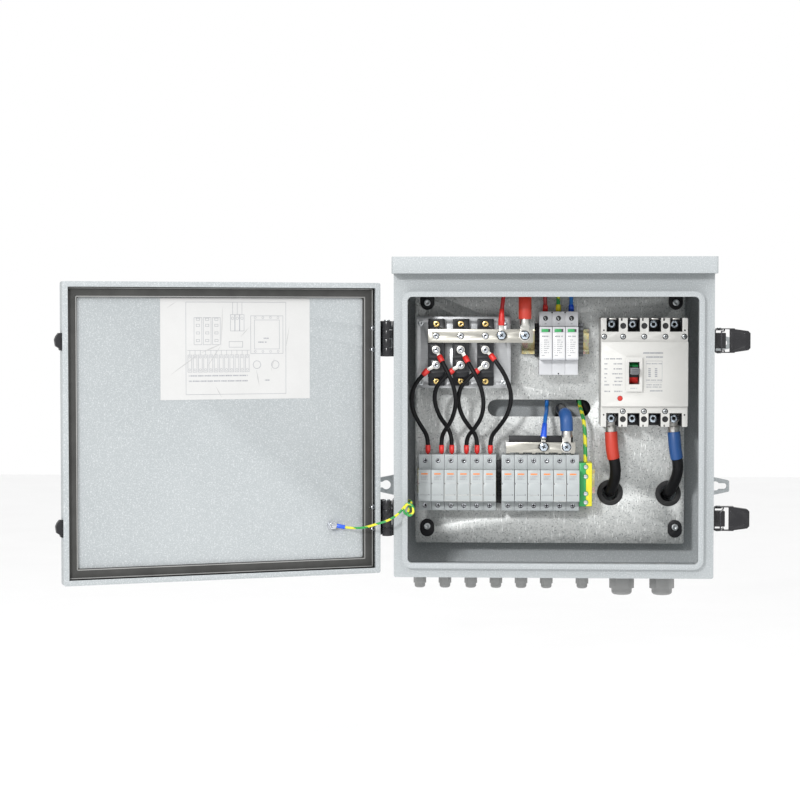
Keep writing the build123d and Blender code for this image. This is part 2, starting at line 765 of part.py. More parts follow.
def latch_lever(z):
    """Lever in its open place, pointing straight out from the side wall."""
    outer = CHEEK_IN + CHEEK_T
    with BuildPart() as lever:
        for low in (z - outer, z + CHEEK_IN):
            with BuildSketch(Plane.XY.offset(low)):
                with Locations((LEVER_X, -LEVER_HEIGHT)):
                    Circle(EYE_R)
                with Locations(((LEVER_X + WEB_START) / 2, -LEVER_HEIGHT)):
                    Rectangle(WEB_START - LEVER_X, 2 * EYE_R)
                with Locations((WEB_START + 3, -(LEVER_FRONT + LEVER_BACK) / 2)):
                    Rectangle(8, LEVER_FRONT - LEVER_BACK)
                with Locations((LEVER_X, -LEVER_HEIGHT), (LEVER_X + CRANK, -LEVER_HEIGHT)):
                    Circle(RIVET_R + RUN_CLEAR, mode=Mode.SUBTRACT)
            extrude(amount=CHEEK_T)
        # handle plate with its edges turned back, narrower at the tip
        with BuildSketch(facing(0, LEVER_BACK, z)):
            with BuildLine():
                Polyline(
                    (WEB_START, -outer),
                    (LEVER_END - 3, -TIP_HALF),
                    (LEVER_END, -TIP_HALF + 3),
                    (LEVER_END, TIP_HALF - 3),
                    (LEVER_END - 3, TIP_HALF),
                    (WEB_START, outer),
                    close=True,
                )
            make_face()
        extrude(amount=LEVER_FRONT - LEVER_BACK)
        with BuildSketch(facing(0, LEVER_BACK, z)):
            with BuildLine():
                Polyline(
                    (WEB_START - 1, -outer + CHEEK_T),
                    (LEVER_END - 4, -TIP_HALF + CHEEK_T + 0.2),
                    (LEVER_END - 1.3, -TIP_HALF + 4),
                    (LEVER_END - 1.3, TIP_HALF - 4),
                    (LEVER_END - 4, TIP_HALF - CHEEK_T - 0.2),
                    (WEB_START - 1, outer - CHEEK_T),
                    close=True,
                )
            make_face()
        extrude(amount=LEVER_FRONT - LEVER_BACK - SHEET, mode=Mode.SUBTRACT)
        with BuildSketch(facing(0, LEVER_FRONT, z)):
            with Locations([(x, dz) for x in (WEB_START + 4, LEVER_END - 7) for dz in (-9, 9)]):
                Circle(1.6)
        extrude(amount=0.8)
    return lever.part


def latch_bail(z):
    """Bent wire bail that hangs from the lever's cheeks and hooks round the keeper."""
    x = LEVER_X + CRANK
    stub = CHEEK_IN + CHEEK_T
    lean = math.radians(BAIL_LEAN)
    bar_x, bar = x - BAIL_REACH * math.sin(lean), LEVER_HEIGHT + BAIL_REACH * math.cos(lean)
    points = [
        at(x, LEVER_HEIGHT, z - stub),
        at(x, LEVER_HEIGHT, z - BAIL_Z),
        at(bar_x, bar, z - BAIL_Z),
        at(bar_x, bar, z + BAIL_Z),
        at(x, LEVER_HEIGHT, z + BAIL_Z),
        at(x, LEVER_HEIGHT, z + stub),
    ]
    with BuildPart() as bail:
        with BuildLine():
            FilletPolyline(*points, radius=BAIL_BEND)
        with BuildSketch(Plane(origin=points[0], z_dir=(0, 0, 1))):
            Circle(BAIL_R)
        sweep()
    return bail.part


# ---------------------------------------------------------------- diodes and busbars


def heat_sink():
    with BuildPart() as sink:
        with BuildSketch(facing(sum(SINK_X) / 2, SINK_FRONT - SINK_BASE_T, sum(SINK_Z) / 2)):
            Rectangle(SINK_X[1] - SINK_X[0], SINK_Z[1] - SINK_Z[0])
        extrude(amount=SINK_BASE_T)
        pitch = (SINK_Z[1] - SINK_Z[0] - FIN_T) / (FIN_COUNT - 1)
        with BuildSketch(facing(sum(SINK_X) / 2, PLATE_FRONT, sum(SINK_Z) / 2)):
            with GridLocations(0, pitch, 1, FIN_COUNT):
                Rectangle(SINK_X[1] - SINK_X[0], FIN_T)
        extrude(amount=SINK_FRONT - SINK_BASE_T - PLATE_FRONT)
        with BuildSketch(facing(0, SINK_FRONT - SINK_BASE_T, 0)):
            with Locations(SINK_SCREWS):
                Circle(SINK_SCREW_R + RUN_CLEAR)
        extrude(amount=SINK_BASE_T, mode=Mode.SUBTRACT)
        with BuildSketch(facing(0, SINK_FRONT, 0)):
            with Locations([(x, z) for x in DIODE_X for z in BRASS_Z]):
                Circle(SCREW_HOLE_R)
        extrude(amount=-SINK_BASE_T, mode=Mode.SUBTRACT)
    return sink.part


SCREW_HOLE_R = 2.05
SHANK_R = 2
BRASS_HEAD_R = 4
PAD_W = 13
TERMINAL_DEEP = 10


def diode_modules():
    """Dual diode modules: a slab with a fixing at each end and a raised block of terminals."""
    modules = []
    for x in DIODE_X:
        half = DIODE_W / 2
        with BuildPart() as module:
            with BuildSketch(facing(x, SINK_FRONT, sum(DIODE_Z) / 2)):
                RectangleRounded(DIODE_W, DIODE_Z[1] - DIODE_Z[0], 1.5)
            extrude(amount=DIODE_SLAB - SINK_FRONT)
            with BuildSketch(facing(x, DIODE_SLAB, sum(DIODE_BLOCK_Z) / 2)):
                Rectangle(DIODE_W, DIODE_BLOCK_Z[1] - DIODE_BLOCK_Z[0])
            extrude(amount=DIODE_TOP - DIODE_SLAB)
            with BuildSketch(facing(x, DIODE_TOP, 0)):
                with Locations((0, COMMON_Z), (0, ANODE_Z[0]), (0, ANODE_Z[1])):
                    Rectangle(PAD_W, PAD_W)
            extrude(amount=PAD_T)
            with BuildSketch(facing(x, DIODE_TOP + PAD_T, 0)):
                with Locations((0, COMMON_Z), (0, ANODE_Z[0]), (0, ANODE_Z[1])):
                    Circle(SCREW_HOLE_R)
            extrude(amount=-TERMINAL_DEEP, mode=Mode.SUBTRACT)
            with BuildSketch(facing(x, DIODE_SLAB, 0)):
                with Locations((0, BRASS_Z[0]), (0, BRASS_Z[1])):
                    Circle(SCREW_HOLE_R)
            extrude(amount=SINK_FRONT - DIODE_SLAB, mode=Mode.SUBTRACT)
            # barrier ribs between the terminals
            with BuildSketch(facing(x, DIODE_TOP, 0)):
                for z in ((COMMON_Z + ANODE_Z[0]) / 2, sum(ANODE_Z) / 2, ANODE_Z[1] - 11):
                    with Locations((0, z)):
                        Rectangle(2 * half, 2)
            extrude(amount=PAD_T - 0.5)
        modules.append(module.part)
    return modules


def positive_busbar():
    low = DIODE_TOP + PAD_T
    with BuildPart() as bar:
        with BuildSketch(facing(sum(POS_BAR_X) / 2, low, sum(POS_BAR_Z) / 2)):
            Rectangle(POS_BAR_X[1] - POS_BAR_X[0], POS_BAR_Z[1] - POS_BAR_Z[0])
        extrude(amount=BAR_T)
        with BuildSketch(facing(0, low, 0)):
            with Locations([(x, COMMON_Z) for x in DIODE_X]):
                Circle(SCREW_HOLE_R)
            with Locations(POS_BOLTS):
                Circle(BOLT_R + RUN_CLEAR)
        extrude(amount=BAR_T, mode=Mode.SUBTRACT)
    return bar.part


COMB_W = 5
COMB_T = 2
COMB_LOW = -62
BOLT_R = 3
POCKET_R = 3.6
POCKET_DEEP = 12
PIN_OFFSETS = (3.4, 4.5, 0.9, 3.4, 0.3, 0.9)


def fuse_centres():
    return [start + i * MODULE for start in FUSE_SETS for i in range(FUSE_COUNT)]


def negative_busbar():
    """Comb bar: a flat bar with one tongue bent down into each fuse base of the right set."""
    with BuildPart() as bar:
        with BuildSketch(facing(sum(NEG_BAR_X) / 2, NEG_BAR_HEIGHT, sum(NEG_BAR_Z) / 2)):
            Rectangle(NEG_BAR_X[1] - NEG_BAR_X[0], NEG_BAR_Z[1] - NEG_BAR_Z[0])
        extrude(amount=BAR_T)
        for x in fuse_centres()[FUSE_COUNT:]:
            for z, heights in (
                ((NEG_BAR_Z[0] - COMB_T + 0.5, NEG_BAR_Z[0] + 0.5), (WIRE_HEIGHT - 1, NEG_BAR_HEIGHT + 1)),
                ((COMB_LOW, NEG_BAR_Z[0]), (WIRE_HEIGHT - 1, WIRE_HEIGHT + 1)),
            ):
                with BuildSketch(facing(x, heights[0], (z[0] + z[1]) / 2)):
                    Rectangle(COMB_W, z[1] - z[0])
                extrude(amount=heights[1] - heights[0])
        with BuildSketch(facing(0, NEG_BAR_HEIGHT, 0)):
            with Locations(NEG_BOLTS):
                Circle(BOLT_R + RUN_CLEAR)
        extrude(amount=BAR_T, mode=Mode.SUBTRACT)
    return bar.part


def busbar_insulator():
    """Dark moulded rail that carries the comb bar from behind."""
    top = NEG_BAR_HEIGHT
    with BuildPart() as rail:
        with BuildSketch(facing(sum(NEG_RAIL_X) / 2, 74, -34)):
            Rectangle(NEG_RAIL_X[1] - NEG_RAIL_X[0], 15)
        extrude(amount=top - 74)
        with BuildSketch(facing(0, top, 0)):
            with Locations(NEG_BOLTS):
                Circle(BOLT_R + 2)
        extrude(amount=-(top - 74), mode=Mode.SUBTRACT)
    return rail.part


WASHER_R = 6.2
WASHER_T = 1
HEX_R = 5
HEX_H = 4
POLE_BOLT_R = 4


def terminal_bolts():
    """Hexagon bolts with washers on the busbars and on the breaker's terminals."""
    pieces = []
    pos_low = DIODE_TOP + PAD_T
    spots = [(x, pos_low + BAR_T + PALM_T, z, 9) for x, z in POS_BOLTS]
    spots += [(x, NEG_BAR_HEIGHT + BAR_T + PALM_T, z, 9) for x, z in NEG_BOLTS]
    for x, height, z, long in spots:
        pieces.append(disc(x, z, (height, height + WASHER_T), WASHER_R, BOLT_R + RUN_CLEAR))
        with BuildPart() as bolt:
            with BuildSketch(facing(x, height + WASHER_T, z)):
                RegularPolygon(HEX_R, 6, major_radius=False)
            extrude(amount=HEX_H)
            with BuildSketch(facing(x, height + WASHER_T, z)):
                Circle(BOLT_R)
            extrude(amount=-long)
        pieces.append(bolt.part)
    for x in pole_centres():
        for z in POLE_BOLT_Z:
            plane = facing(x, TERMINAL_FRONT + PALM_T, z)
            shank = TERMINAL_FRONT + PALM_T - WELL_FLOOR
            pieces.append(screw(plane, 5.6, 6, POLE_BOLT_R, shank, hex_r=2.8))
    return pieces


# ---------------------------------------------------------------- rail devices


def din_rails():
    rails = []
    for x, z in ((SPD_RAIL_X, SPD_RAIL_Z), (FUSE_RAIL_X, FUSE_RAIL_Z)):
        with BuildPart() as rail:
            with BuildSketch(Plane.YZ.offset(x[0])):
                with BuildLine():
                    half, foot = RAIL_W / 2, RAIL_W / 2 - 5
                    low, high = -PLATE_FRONT, -PLATE_FRONT - RAIL_TALL
                    Polyline(
                        (high, z - half),
                        (high, z - foot + RAIL_T),
                        (low - RAIL_T, z - foot + RAIL_T),
                        (low - RAIL_T, z + foot - RAIL_T),
                        (high, z + foot - RAIL_T),
                        (high, z + half),
                        (high + RAIL_T, z + half),
                        (high + RAIL_T, z + foot),
                        (low, z + foot),
                        (low, z - foot),
                        (high + RAIL_T, z - foot),
                        (high + RAIL_T, z - half),
                        close=True,
                    )
                make_face()
            extrude(amount=x[1] - x[0])
        rails.append(rail.part)
    return rails


def rail_channel(x, z):
    """The space a rail needs in the back of a device that spans the given X."""
    half = RAIL_W / 2 + 0.3
    return slab((x[0] - 1, x[1] + 1), (z - half, z + half), (PLATE_FRONT, PLATE_FRONT + RAIL_TALL + 0.1))


def rail_end_stops():
    """Black stops left of the surge protector and between the fuse sets, grey clamp at right."""
    stops = []
    for x, z, rail_z, top in (
        ((-23.4, -18.2), (83.5, 130), SPD_RAIL_Z, 78),
        ((36.8, 44), (84, 130), SPD_RAIL_Z, 74),
        ((-76.4, -70.2), (-121, -63), FUSE_RAIL_Z, 76),
    ):
        with BuildPart() as stop:
            with BuildSketch(facing(sum(x) / 2, PLATE_FRONT + 2, sum(z) / 2)):
                Rectangle(x[1] - x[0], z[1] - z[0])
            extrude(amount=top - PLATE_FRONT - 2)
            add(rail_channel(x, rail_z), mode=Mode.SUBTRACT)
            with BuildSketch(facing(sum(x) / 2, top, sum(z) / 2)):
                with GridLocations(0, 6, 1, 7):
                    Rectangle(x[1] - x[0], 1.6)
            extrude(amount=-1.2, mode=Mode.SUBTRACT)
        stops.append(stop.part)
    return stops


SPD_W = 3 * MODULE
SPD_CART_W = 17.4
SPD_SCREW_Z = (137, 68)
SPD_WIRE_R = 3.6


def spd_modules():
    return [SPD_X + (i - 1) * MODULE for i in range(3)]


def spd_base():
    mid = sum(SPD_Z) / 2
    x = (SPD_X - SPD_W / 2, SPD_X + SPD_W / 2)
    with BuildPart() as base:
        with BuildSketch(facing(SPD_X, PLATE_FRONT + 2, mid)):
            RectangleRounded(SPD_W, SPD_Z[1] - SPD_Z[0], 1)
        extrude(amount=SPD_SHOULDER - PLATE_FRONT - 2)
        add(rail_channel(x, SPD_RAIL_Z), mode=Mode.SUBTRACT)
        with BuildSketch(facing(SPD_X, SPD_FLOOR, sum(SPD_NOSE_Z) / 2)):
            with GridLocations(MODULE, 0, 3, 1):
                Rectangle(SPD_CART_W + 0.3, SPD_NOSE_Z[1] - SPD_NOSE_Z[0] + 0.6)
        extrude(amount=SPD_SHOULDER - SPD_FLOOR, mode=Mode.SUBTRACT)
        with BuildSketch(facing(0, SPD_SHOULDER, 0)):
            with Locations([(m, z) for m in spd_modules() for z in SPD_SCREW_Z]):
                Circle(TERMINAL_WELL_R)
        extrude(amount=-TERMINAL_WELL_DEEP, mode=Mode.SUBTRACT)
        with BuildSketch(Plane.XY.offset(SPD_Z[1])):
            with Locations([(m, -WIRE_HEIGHT) for m in spd_modules()]):
                Circle(SPD_WIRE_R)
        extrude(amount=-POCKET_DEEP, mode=Mode.SUBTRACT)
    return base.part


def spd_cartridge(x):
    """Plug-in protection module, with a recessed status window and finger grooves."""
    mid = sum(SPD_NOSE_Z) / 2
    tall = SPD_NOSE_Z[1] - SPD_NOSE_Z[0]
    with BuildPart() as cartridge:
        with BuildSketch(facing(x, SPD_FLOOR + 1, mid)):
            Rectangle(SPD_CART_W, tall)
        extrude(amount=SPD_NOSE - SPD_FLOOR - 1)
        chamfer(cartridge.faces().sort_by(Axis.Y)[0].edges().filter_by(Axis.X), 0.8)
        with BuildSketch(facing(x, SPD_NOSE, 120.3)):
            Rectangle(12, 4.6)
        extrude(amount=-0.8, mode=Mode.SUBTRACT)
    return cartridge.part


TERMINAL_WELL_R = 3.4
TERMINAL_WELL_DEEP = 8
FUSE_W = 17.6
CAVITY_W = 15
CAVITY_FLOOR = 60
CAVITY_Z = (-117.6, -74.2)
FUSE_SCREW_Z = (-61.5, -124.2)
CARRIER_W = 17.2
TONGUE_W = 13
TONGUE_BACK = 72
TONGUE_Z = (-117, -78)
LINK_R = 5.15
LINK_HEIGHT = 80
LINK_Z = (-116.5, -78.5)
GRIP_Z = -90.8
GROOVE_Z = -107.5
TRUNNION_R = 1.5
EAR_HALF = 3.6
EAR_IN = 7.5
EYE_CLEAR_R = 5.7
EYE_CLEAR_IN = 7.2


def across(x, length, radius):
    """A round bar along X through a carrier's pivot."""
    with BuildPart() as bar:
        with BuildSketch(Plane.YZ.offset(x)):
            with Locations((-FUSE_PIVOT_HEIGHT, FUSE_PIVOT_Z)):
                Circle(radius)
        extrude(amount=length)
    return bar.part


def pivot_eyes(x):
    """Two small upright eyes on a fuse base that hold its carrier's trunnions."""
    eyes = []
    thick = FUSE_W / 2 - EAR_IN
    for low in (x - FUSE_W / 2, x + EAR_IN):
        with BuildPart() as eye:
            add(across(low, thick, EAR_HALF))
            span_z = (FUSE_PIVOT_Z - EAR_HALF, FUSE_PIVOT_Z + EAR_HALF)
            add(slab((low, low + thick), span_z, (FUSE_SHOULDER - 1, FUSE_PIVOT_HEIGHT)))
            add(across(low, thick, TRUNNION_R + RUN_CLEAR), mode=Mode.SUBTRACT)
        eyes.append(eye.part)
    return eyes


def fuse_bases():
    bases = []
    pockets = dict(zip(fuse_centres(), PIN_OFFSETS))
    for x in fuse_centres():
        span = (x - FUSE_W / 2, x + FUSE_W / 2)
        with BuildPart() as base:
            with BuildSketch(facing(x, PLATE_FRONT + 2, sum(FUSE_Z) / 2)):
                Rectangle(FUSE_W, FUSE_Z[1] - FUSE_Z[0])
            extrude(amount=FUSE_SHOULDER - PLATE_FRONT - 2)
            add(rail_channel(span, FUSE_RAIL_Z), mode=Mode.SUBTRACT)
            with BuildSketch(facing(x, CAVITY_FLOOR, sum(CAVITY_Z) / 2)):
                Rectangle(CAVITY_W, CAVITY_Z[1] - CAVITY_Z[0])
            extrude(amount=FUSE_SHOULDER - CAVITY_FLOOR, mode=Mode.SUBTRACT)
            with BuildSketch(facing(x, FUSE_SHOULDER, 0)):
                with Locations([(0, z) for z in FUSE_SCREW_Z]):
                    Circle(TERMINAL_WELL_R)
            extrude(amount=-TERMINAL_WELL_DEEP, mode=Mode.SUBTRACT)
            with BuildSketch(Plane.XY.offset(FUSE_Z[1])):
                with Locations((x + pockets.get(x, 0), -WIRE_HEIGHT)):
                    Circle(POCKET_R)
            extrude(amount=-POCKET_DEEP, mode=Mode.SUBTRACT)
            add(pivot_eyes(x))
        bases.append(base.part)
    return bases


def fuse_carrier(x):
    """Hinged carrier: a front block and a tongue that holds the fuse link."""
    with BuildPart() as carrier:
        with BuildSketch(facing(x, FUSE_SHOULDER + 0.4, sum(NOSE_Z) / 2)):
            Rectangle(CARRIER_W, NOSE_Z[1] - NOSE_Z[0])
        extrude(amount=FUSE_NOSE - FUSE_SHOULDER - 0.4)
        front = carrier.faces().sort_by(Axis.Y)[0]
        chamfer(front.edges().filter_by(Axis.X), 1.2)
        with BuildSketch(facing(x, TONGUE_BACK, sum(TONGUE_Z) / 2)):
            Rectangle(TONGUE_W, TONGUE_Z[1] - TONGUE_Z[0])
        extrude(amount=FUSE_SHOULDER + 0.4 - TONGUE_BACK)
        # the label part is a little lower than the grip, with a split line between them
        with BuildSketch(facing(x, FUSE_NOSE, (GRIP_Z + NOSE_Z[1]) / 2)):
            Rectangle(CARRIER_W, NOSE_Z[1] - GRIP_Z)
        extrude(amount=-1.2, mode=Mode.SUBTRACT)
        with BuildSketch(facing(x, FUSE_NOSE, GROOVE_Z)):
            Rectangle(CARRIER_W - 3, 0.8)
        extrude(amount=-0.8, mode=Mode.SUBTRACT)
        with BuildSketch(Plane.XY.offset(LINK_Z[0])):
            with Locations((x, -LINK_HEIGHT)):
                Circle(LINK_R + RUN_CLEAR)
        extrude(amount=LINK_Z[1] - LINK_Z[0], mode=Mode.SUBTRACT)
        # rounded recesses for the base's eyes, with a trunnion in each
        deep = CARRIER_W / 2 - EYE_CLEAR_IN
        for low in (x - CARRIER_W / 2, x + EYE_CLEAR_IN):
            add(across(low, deep, EYE_CLEAR_R), mode=Mode.SUBTRACT)
            add(across(low, deep, TRUNNION_R))
    with BuildPart() as link:
        with BuildSketch(Plane.XY.offset(LINK_Z[0] + RUN_CLEAR)):
            with Locations((x, -LINK_HEIGHT)):
                Circle(LINK_R)
        extrude(amount=LINK_Z[1] - LINK_Z[0] - 2 * RUN_CLEAR)
    return [carrier.part, link.part]


def terminal_screws():
    """Clamp screws of the rail devices and all screws of the diode modules."""
    pieces = []
    device_z = [(x, z, SPD_SHOULDER) for x in spd_modules() for z in SPD_SCREW_Z]
    device_z += [(x, z, FUSE_SHOULDER) for x in fuse_centres() for z in FUSE_SCREW_Z]
    for x, z, shoulder in device_z:
        floor = shoulder - TERMINAL_WELL_DEEP
        with BuildPart() as head:
            with BuildSketch(facing(x, floor, z)):
                Circle(TERMINAL_WELL_R - 0.3)
            extrude(amount=3)
            with BuildSketch(facing(x, floor + 3, z)):
                Rectangle(4.6, 1)
                Rectangle(1, 4.6)
            extrude(amount=-1.2, mode=Mode.SUBTRACT)
        pieces.append(head.part)
    for x in DIODE_X:
        for z in BRASS_Z:
            plane = facing(x, DIODE_SLAB, z)
            pieces.append(screw(plane, BRASS_HEAD_R, 3, SHANK_R, DIODE_SLAB - SINK_FRONT + 6, cross=1.8))
        for z, height in (
            (COMMON_Z, DIODE_TOP + PAD_T + BAR_T),
            (ANODE_Z[0], DIODE_TOP + PAD_T + RING_T),
            (ANODE_Z[1], DIODE_TOP + PAD_T + RING_T),
        ):
            plane = facing(x, height, z)
            pieces.append(screw(plane, 3.8, 2.6, SHANK_R, 7, cross=1.8))
    return pieces


EARTH_X = (38.6, 56.4)
EARTH_Z = (-124.5, -64)
EARTH_TOP = 86
EARTH_SCREW_Z = (-69.5, -83, -106.8, -119)
EARTH_WIRE_X = 47.5


def earth_terminals():
    """Green and yellow earth terminal block: two halves on the rail, with clamp screws."""
    mid = sum(EARTH_X) / 2
    halves = []
    for x in ((EARTH_X[0], mid - RUN_CLEAR), (mid + RUN_CLEAR, EARTH_X[1])):
        with BuildPart() as half:
            with BuildSketch(facing(sum(x) / 2, PLATE_FRONT + 2, sum(EARTH_Z) / 2)):
                Rectangle(x[1] - x[0], EARTH_Z[1] - EARTH_Z[0])
            extrude(amount=EARTH_TOP - PLATE_FRONT - 2)
            add(rail_channel(x, FUSE_RAIL_Z), mode=Mode.SUBTRACT)
            with BuildSketch(facing(0, EARTH_TOP, 0)):
                with Locations([(EARTH_WIRE_X, z) for z in EARTH_SCREW_Z]):
                    Circle(TERMINAL_WELL_R)
            extrude(amount=-3, mode=Mode.SUBTRACT)
            with BuildSketch(Plane.XY.offset(EARTH_Z[1])):
                with Locations((EARTH_WIRE_X, -WIRE_HEIGHT)):
                    Circle(POCKET_R)
            extrude(amount=-POCKET_DEEP, mode=Mode.SUBTRACT)
        halves.append(half.part)
    screws = [disc(EARTH_WIRE_X, z, (EARTH_TOP - 3, EARTH_TOP - 0.6), TERMINAL_WELL_R - 0.3) for z in EARTH_SCREW_Z]
    return halves + screws


# ---------------------------------------------------------------- breaker

TERMINAL_FRONT = WELL_FLOOR + 4
WELL_DEEP_Z = 19
COVER_HOLE_R = 4.2
COVER_SCREW_R = 4
COVER_SCREW_Z = (111.8, 8.8)
STEP_Z = (16, 104.5)
BEZEL_TOP = 118
WINDOW_W = 14.4
WINDOW_Z = (46.4, 77.1)
FINGER_UP = 3.2
PIVOT_HEIGHT = 92
HANDLE_W = 11.5
HANDLE_TIP = 132
BUTTON_R = 3.4


def pole_centres():
    return [MCCB_X + (i - 1.5) * POLE for i in range(4)]


def between_poles():
    return [MCCB_X + i * POLE for i in (-1, 0, 1)]


def well_centres():
    return (MCCB_Z[1] - WELL_DEEP_Z / 2, MCCB_Z[0] + WELL_DEEP_Z / 2)


def cover_screws():
    edge = MCCB_W / 2 - 4.5
    top = [(x, COVER_SCREW_Z[0]) for x in [MCCB_X - edge, *between_poles(), MCCB_X + edge]]
    return top + [(x, COVER_SCREW_Z[1]) for x in between_poles()]


def terminal_wells():
    """Space of the open wells over the terminals, at the top and bottom ends of every pole."""
    with BuildPart() as wells:
        with BuildSketch(facing(0, WELL_FLOOR, 0)):
            with Locations([(x, z) for x in pole_centres() for z in well_centres()]):
                Rectangle(WELL_W, WELL_DEEP_Z)
        extrude(amount=MCCB_FRONT - WELL_FLOOR)
    return wells.part


def breaker_base():
    with BuildPart() as base:
        with BuildSketch(facing(MCCB_X, PLATE_FRONT, sum(MCCB_Z) / 2)):
            RectangleRounded(MCCB_W, MCCB_Z[1] - MCCB_Z[0], 1.5)
        extrude(amount=MCCB_SPLIT - PLATE_FRONT)
        add(terminal_wells(), mode=Mode.SUBTRACT)
        # room for the switching mechanism behind the handle
        with BuildSketch(facing(HANDLE_X, 60, HANDLE_Z)):
            Rectangle(WINDOW_W + 4, 60)
        extrude(amount=MCCB_SPLIT - 60, mode=Mode.SUBTRACT)
    return base.part


def breaker_cover():
    mid_z = sum(MCCB_Z) / 2
    with BuildPart() as cover:
        with BuildSketch(facing(MCCB_X, MCCB_SPLIT, mid_z)):
            RectangleRounded(MCCB_W, MCCB_Z[1] - MCCB_Z[0], 1.5)
        extrude(amount=MCCB_STEP - MCCB_SPLIT)
        with BuildSketch(facing(MCCB_X, MCCB_STEP, sum(STEP_Z) / 2)):
            Rectangle(MCCB_W, STEP_Z[1] - STEP_Z[0])
        extrude(amount=MCCB_FRONT - MCCB_STEP)
        with BuildSketch(facing(HANDLE_X, MCCB_FRONT, HANDLE_Z - 1.5)):
            RectangleRounded(WINDOW_W + 8, 47, 1)
        extrude(amount=BEZEL_TOP - MCCB_FRONT)
        add(terminal_wells(), mode=Mode.SUBTRACT)
        with BuildSketch(facing(HANDLE_X, MCCB_SPLIT, sum(WINDOW_Z) / 2)):
            Rectangle(WINDOW_W, WINDOW_Z[1] - WINDOW_Z[0])
        extrude(amount=BEZEL_TOP - MCCB_SPLIT, mode=Mode.SUBTRACT)
        with BuildSketch(facing(BUTTON_X, MCCB_SPLIT, BUTTON_Z)):
            Circle(BUTTON_R + 0.3)
        extrude(amount=MCCB_FRONT - MCCB_SPLIT, mode=Mode.SUBTRACT)
        with BuildSketch(facing(0, MCCB_STEP, 0)):
            with Locations(cover_screws()):
                Circle(COVER_SCREW_R)
        extrude(amount=-5, mode=Mode.SUBTRACT)
        with BuildSketch(facing(0, MCCB_STEP, 0)):
            with Locations([(x, z) for x in between_poles() for z in (126.6, -2)]):
                Circle(COVER_HOLE_R)
        extrude(amount=-10, mode=Mode.SUBTRACT)
    return cover.part


def breaker_terminals():
    """Terminal plates in the wells and the screws that hold the cover."""
    pieces = []
    for x in pole_centres():
        for z in well_centres():
            with BuildPart() as plate:
                with BuildSketch(facing(x, WELL_FLOOR, z)):
                    Rectangle(WELL_W - 1, WELL_DEEP_Z - 1)
                extrude(amount=TERMINAL_FRONT - WELL_FLOOR)
                bolt_z = POLE_BOLT_Z[0] if z > 60 else POLE_BOLT_Z[1]
                with BuildSketch(facing(x, TERMINAL_FRONT, bolt_z)):
                    Circle(POLE_BOLT_R + RUN_CLEAR)
                extrude(amount=-(TERMINAL_FRONT - WELL_FLOOR), mode=Mode.SUBTRACT)
            pieces.append(plate.part)
    for x, z in cover_screws():
        with BuildPart() as head:
            with BuildSketch(facing(x, MCCB_STEP - 5, z)):
                Circle(COVER_SCREW_R - 0.4)
            extrude(amount=2.5)
            with BuildSketch(facing(x, MCCB_STEP - 2.5, z)):
                Rectangle(4.4, 1)
                Rectangle(1, 4.4)
            extrude(amount=-1.2, mode=Mode.SUBTRACT)
        pieces.append(head.part)
    return pieces


def breaker_handle():
    """Toggle on a hidden trunnion: a curved shutter with a finger block."""
    shutter_r = BEZEL_TOP - 4 - PIVOT_HEIGHT
    inner_r = shutter_r - 3
    with BuildPart() as handle:
        with BuildSketch(Plane.YZ.offset(HANDLE_X - WINDOW_W / 2 + 1)):
            with Locations((-PIVOT_HEIGHT, HANDLE_Z)):
                Circle(inner_r - 8)
        extrude(amount=WINDOW_W - 2)
        with BuildSketch(Plane.YZ.offset(HANDLE_X - HANDLE_W / 2)):
            with Locations((-(PIVOT_HEIGHT + HANDLE_TIP) / 2, HANDLE_Z + FINGER_UP)):
                Rectangle(HANDLE_TIP - PIVOT_HEIGHT, 9.5)
        extrude(amount=HANDLE_W)
        tip = handle.faces().sort_by(Axis.Y)[0].edges()
        fillet(tip, 1.2)
    return handle.part


def trip_button():
    with BuildPart() as button:
        with BuildSketch(facing(BUTTON_X, MCCB_SPLIT + 6, BUTTON_Z)):
            Circle(BUTTON_R)
        extrude(amount=MCCB_FRONT + 0.6 - MCCB_SPLIT - 6)
        fillet(button.faces().sort_by(Axis.Y)[0].edges(), 0.5)
    return button.part


# ---------------------------------------------------------------- glands

GLAND_SMALL = {"hex": 8, "thread": 6, "bore": 4.2, "seal": 3.2, "body": 8, "nut": 17, "nut_r": 7.9}
GLAND_LARGE = {"hex": 15.2, "thread": 12.5, "bore": 9.5, "seal": 7.7, "body": 10, "nut": 23, "nut_r": 14.6}
LOCKNUT_T = 5
THREAD_IN = 8


def gland_positions():
    small = [(x, GLAND_SMALL) for x in SMALL_GLANDS]
    return small + [(x, GLAND_LARGE) for x in LARGE_GLANDS]


def down(x, z):
    """A plane facing down at a gland, at the given level."""
    return Plane(origin=(x, -GLAND_HEIGHT, z), x_dir=(1, 0, 0), z_dir=(0, 0, -1))


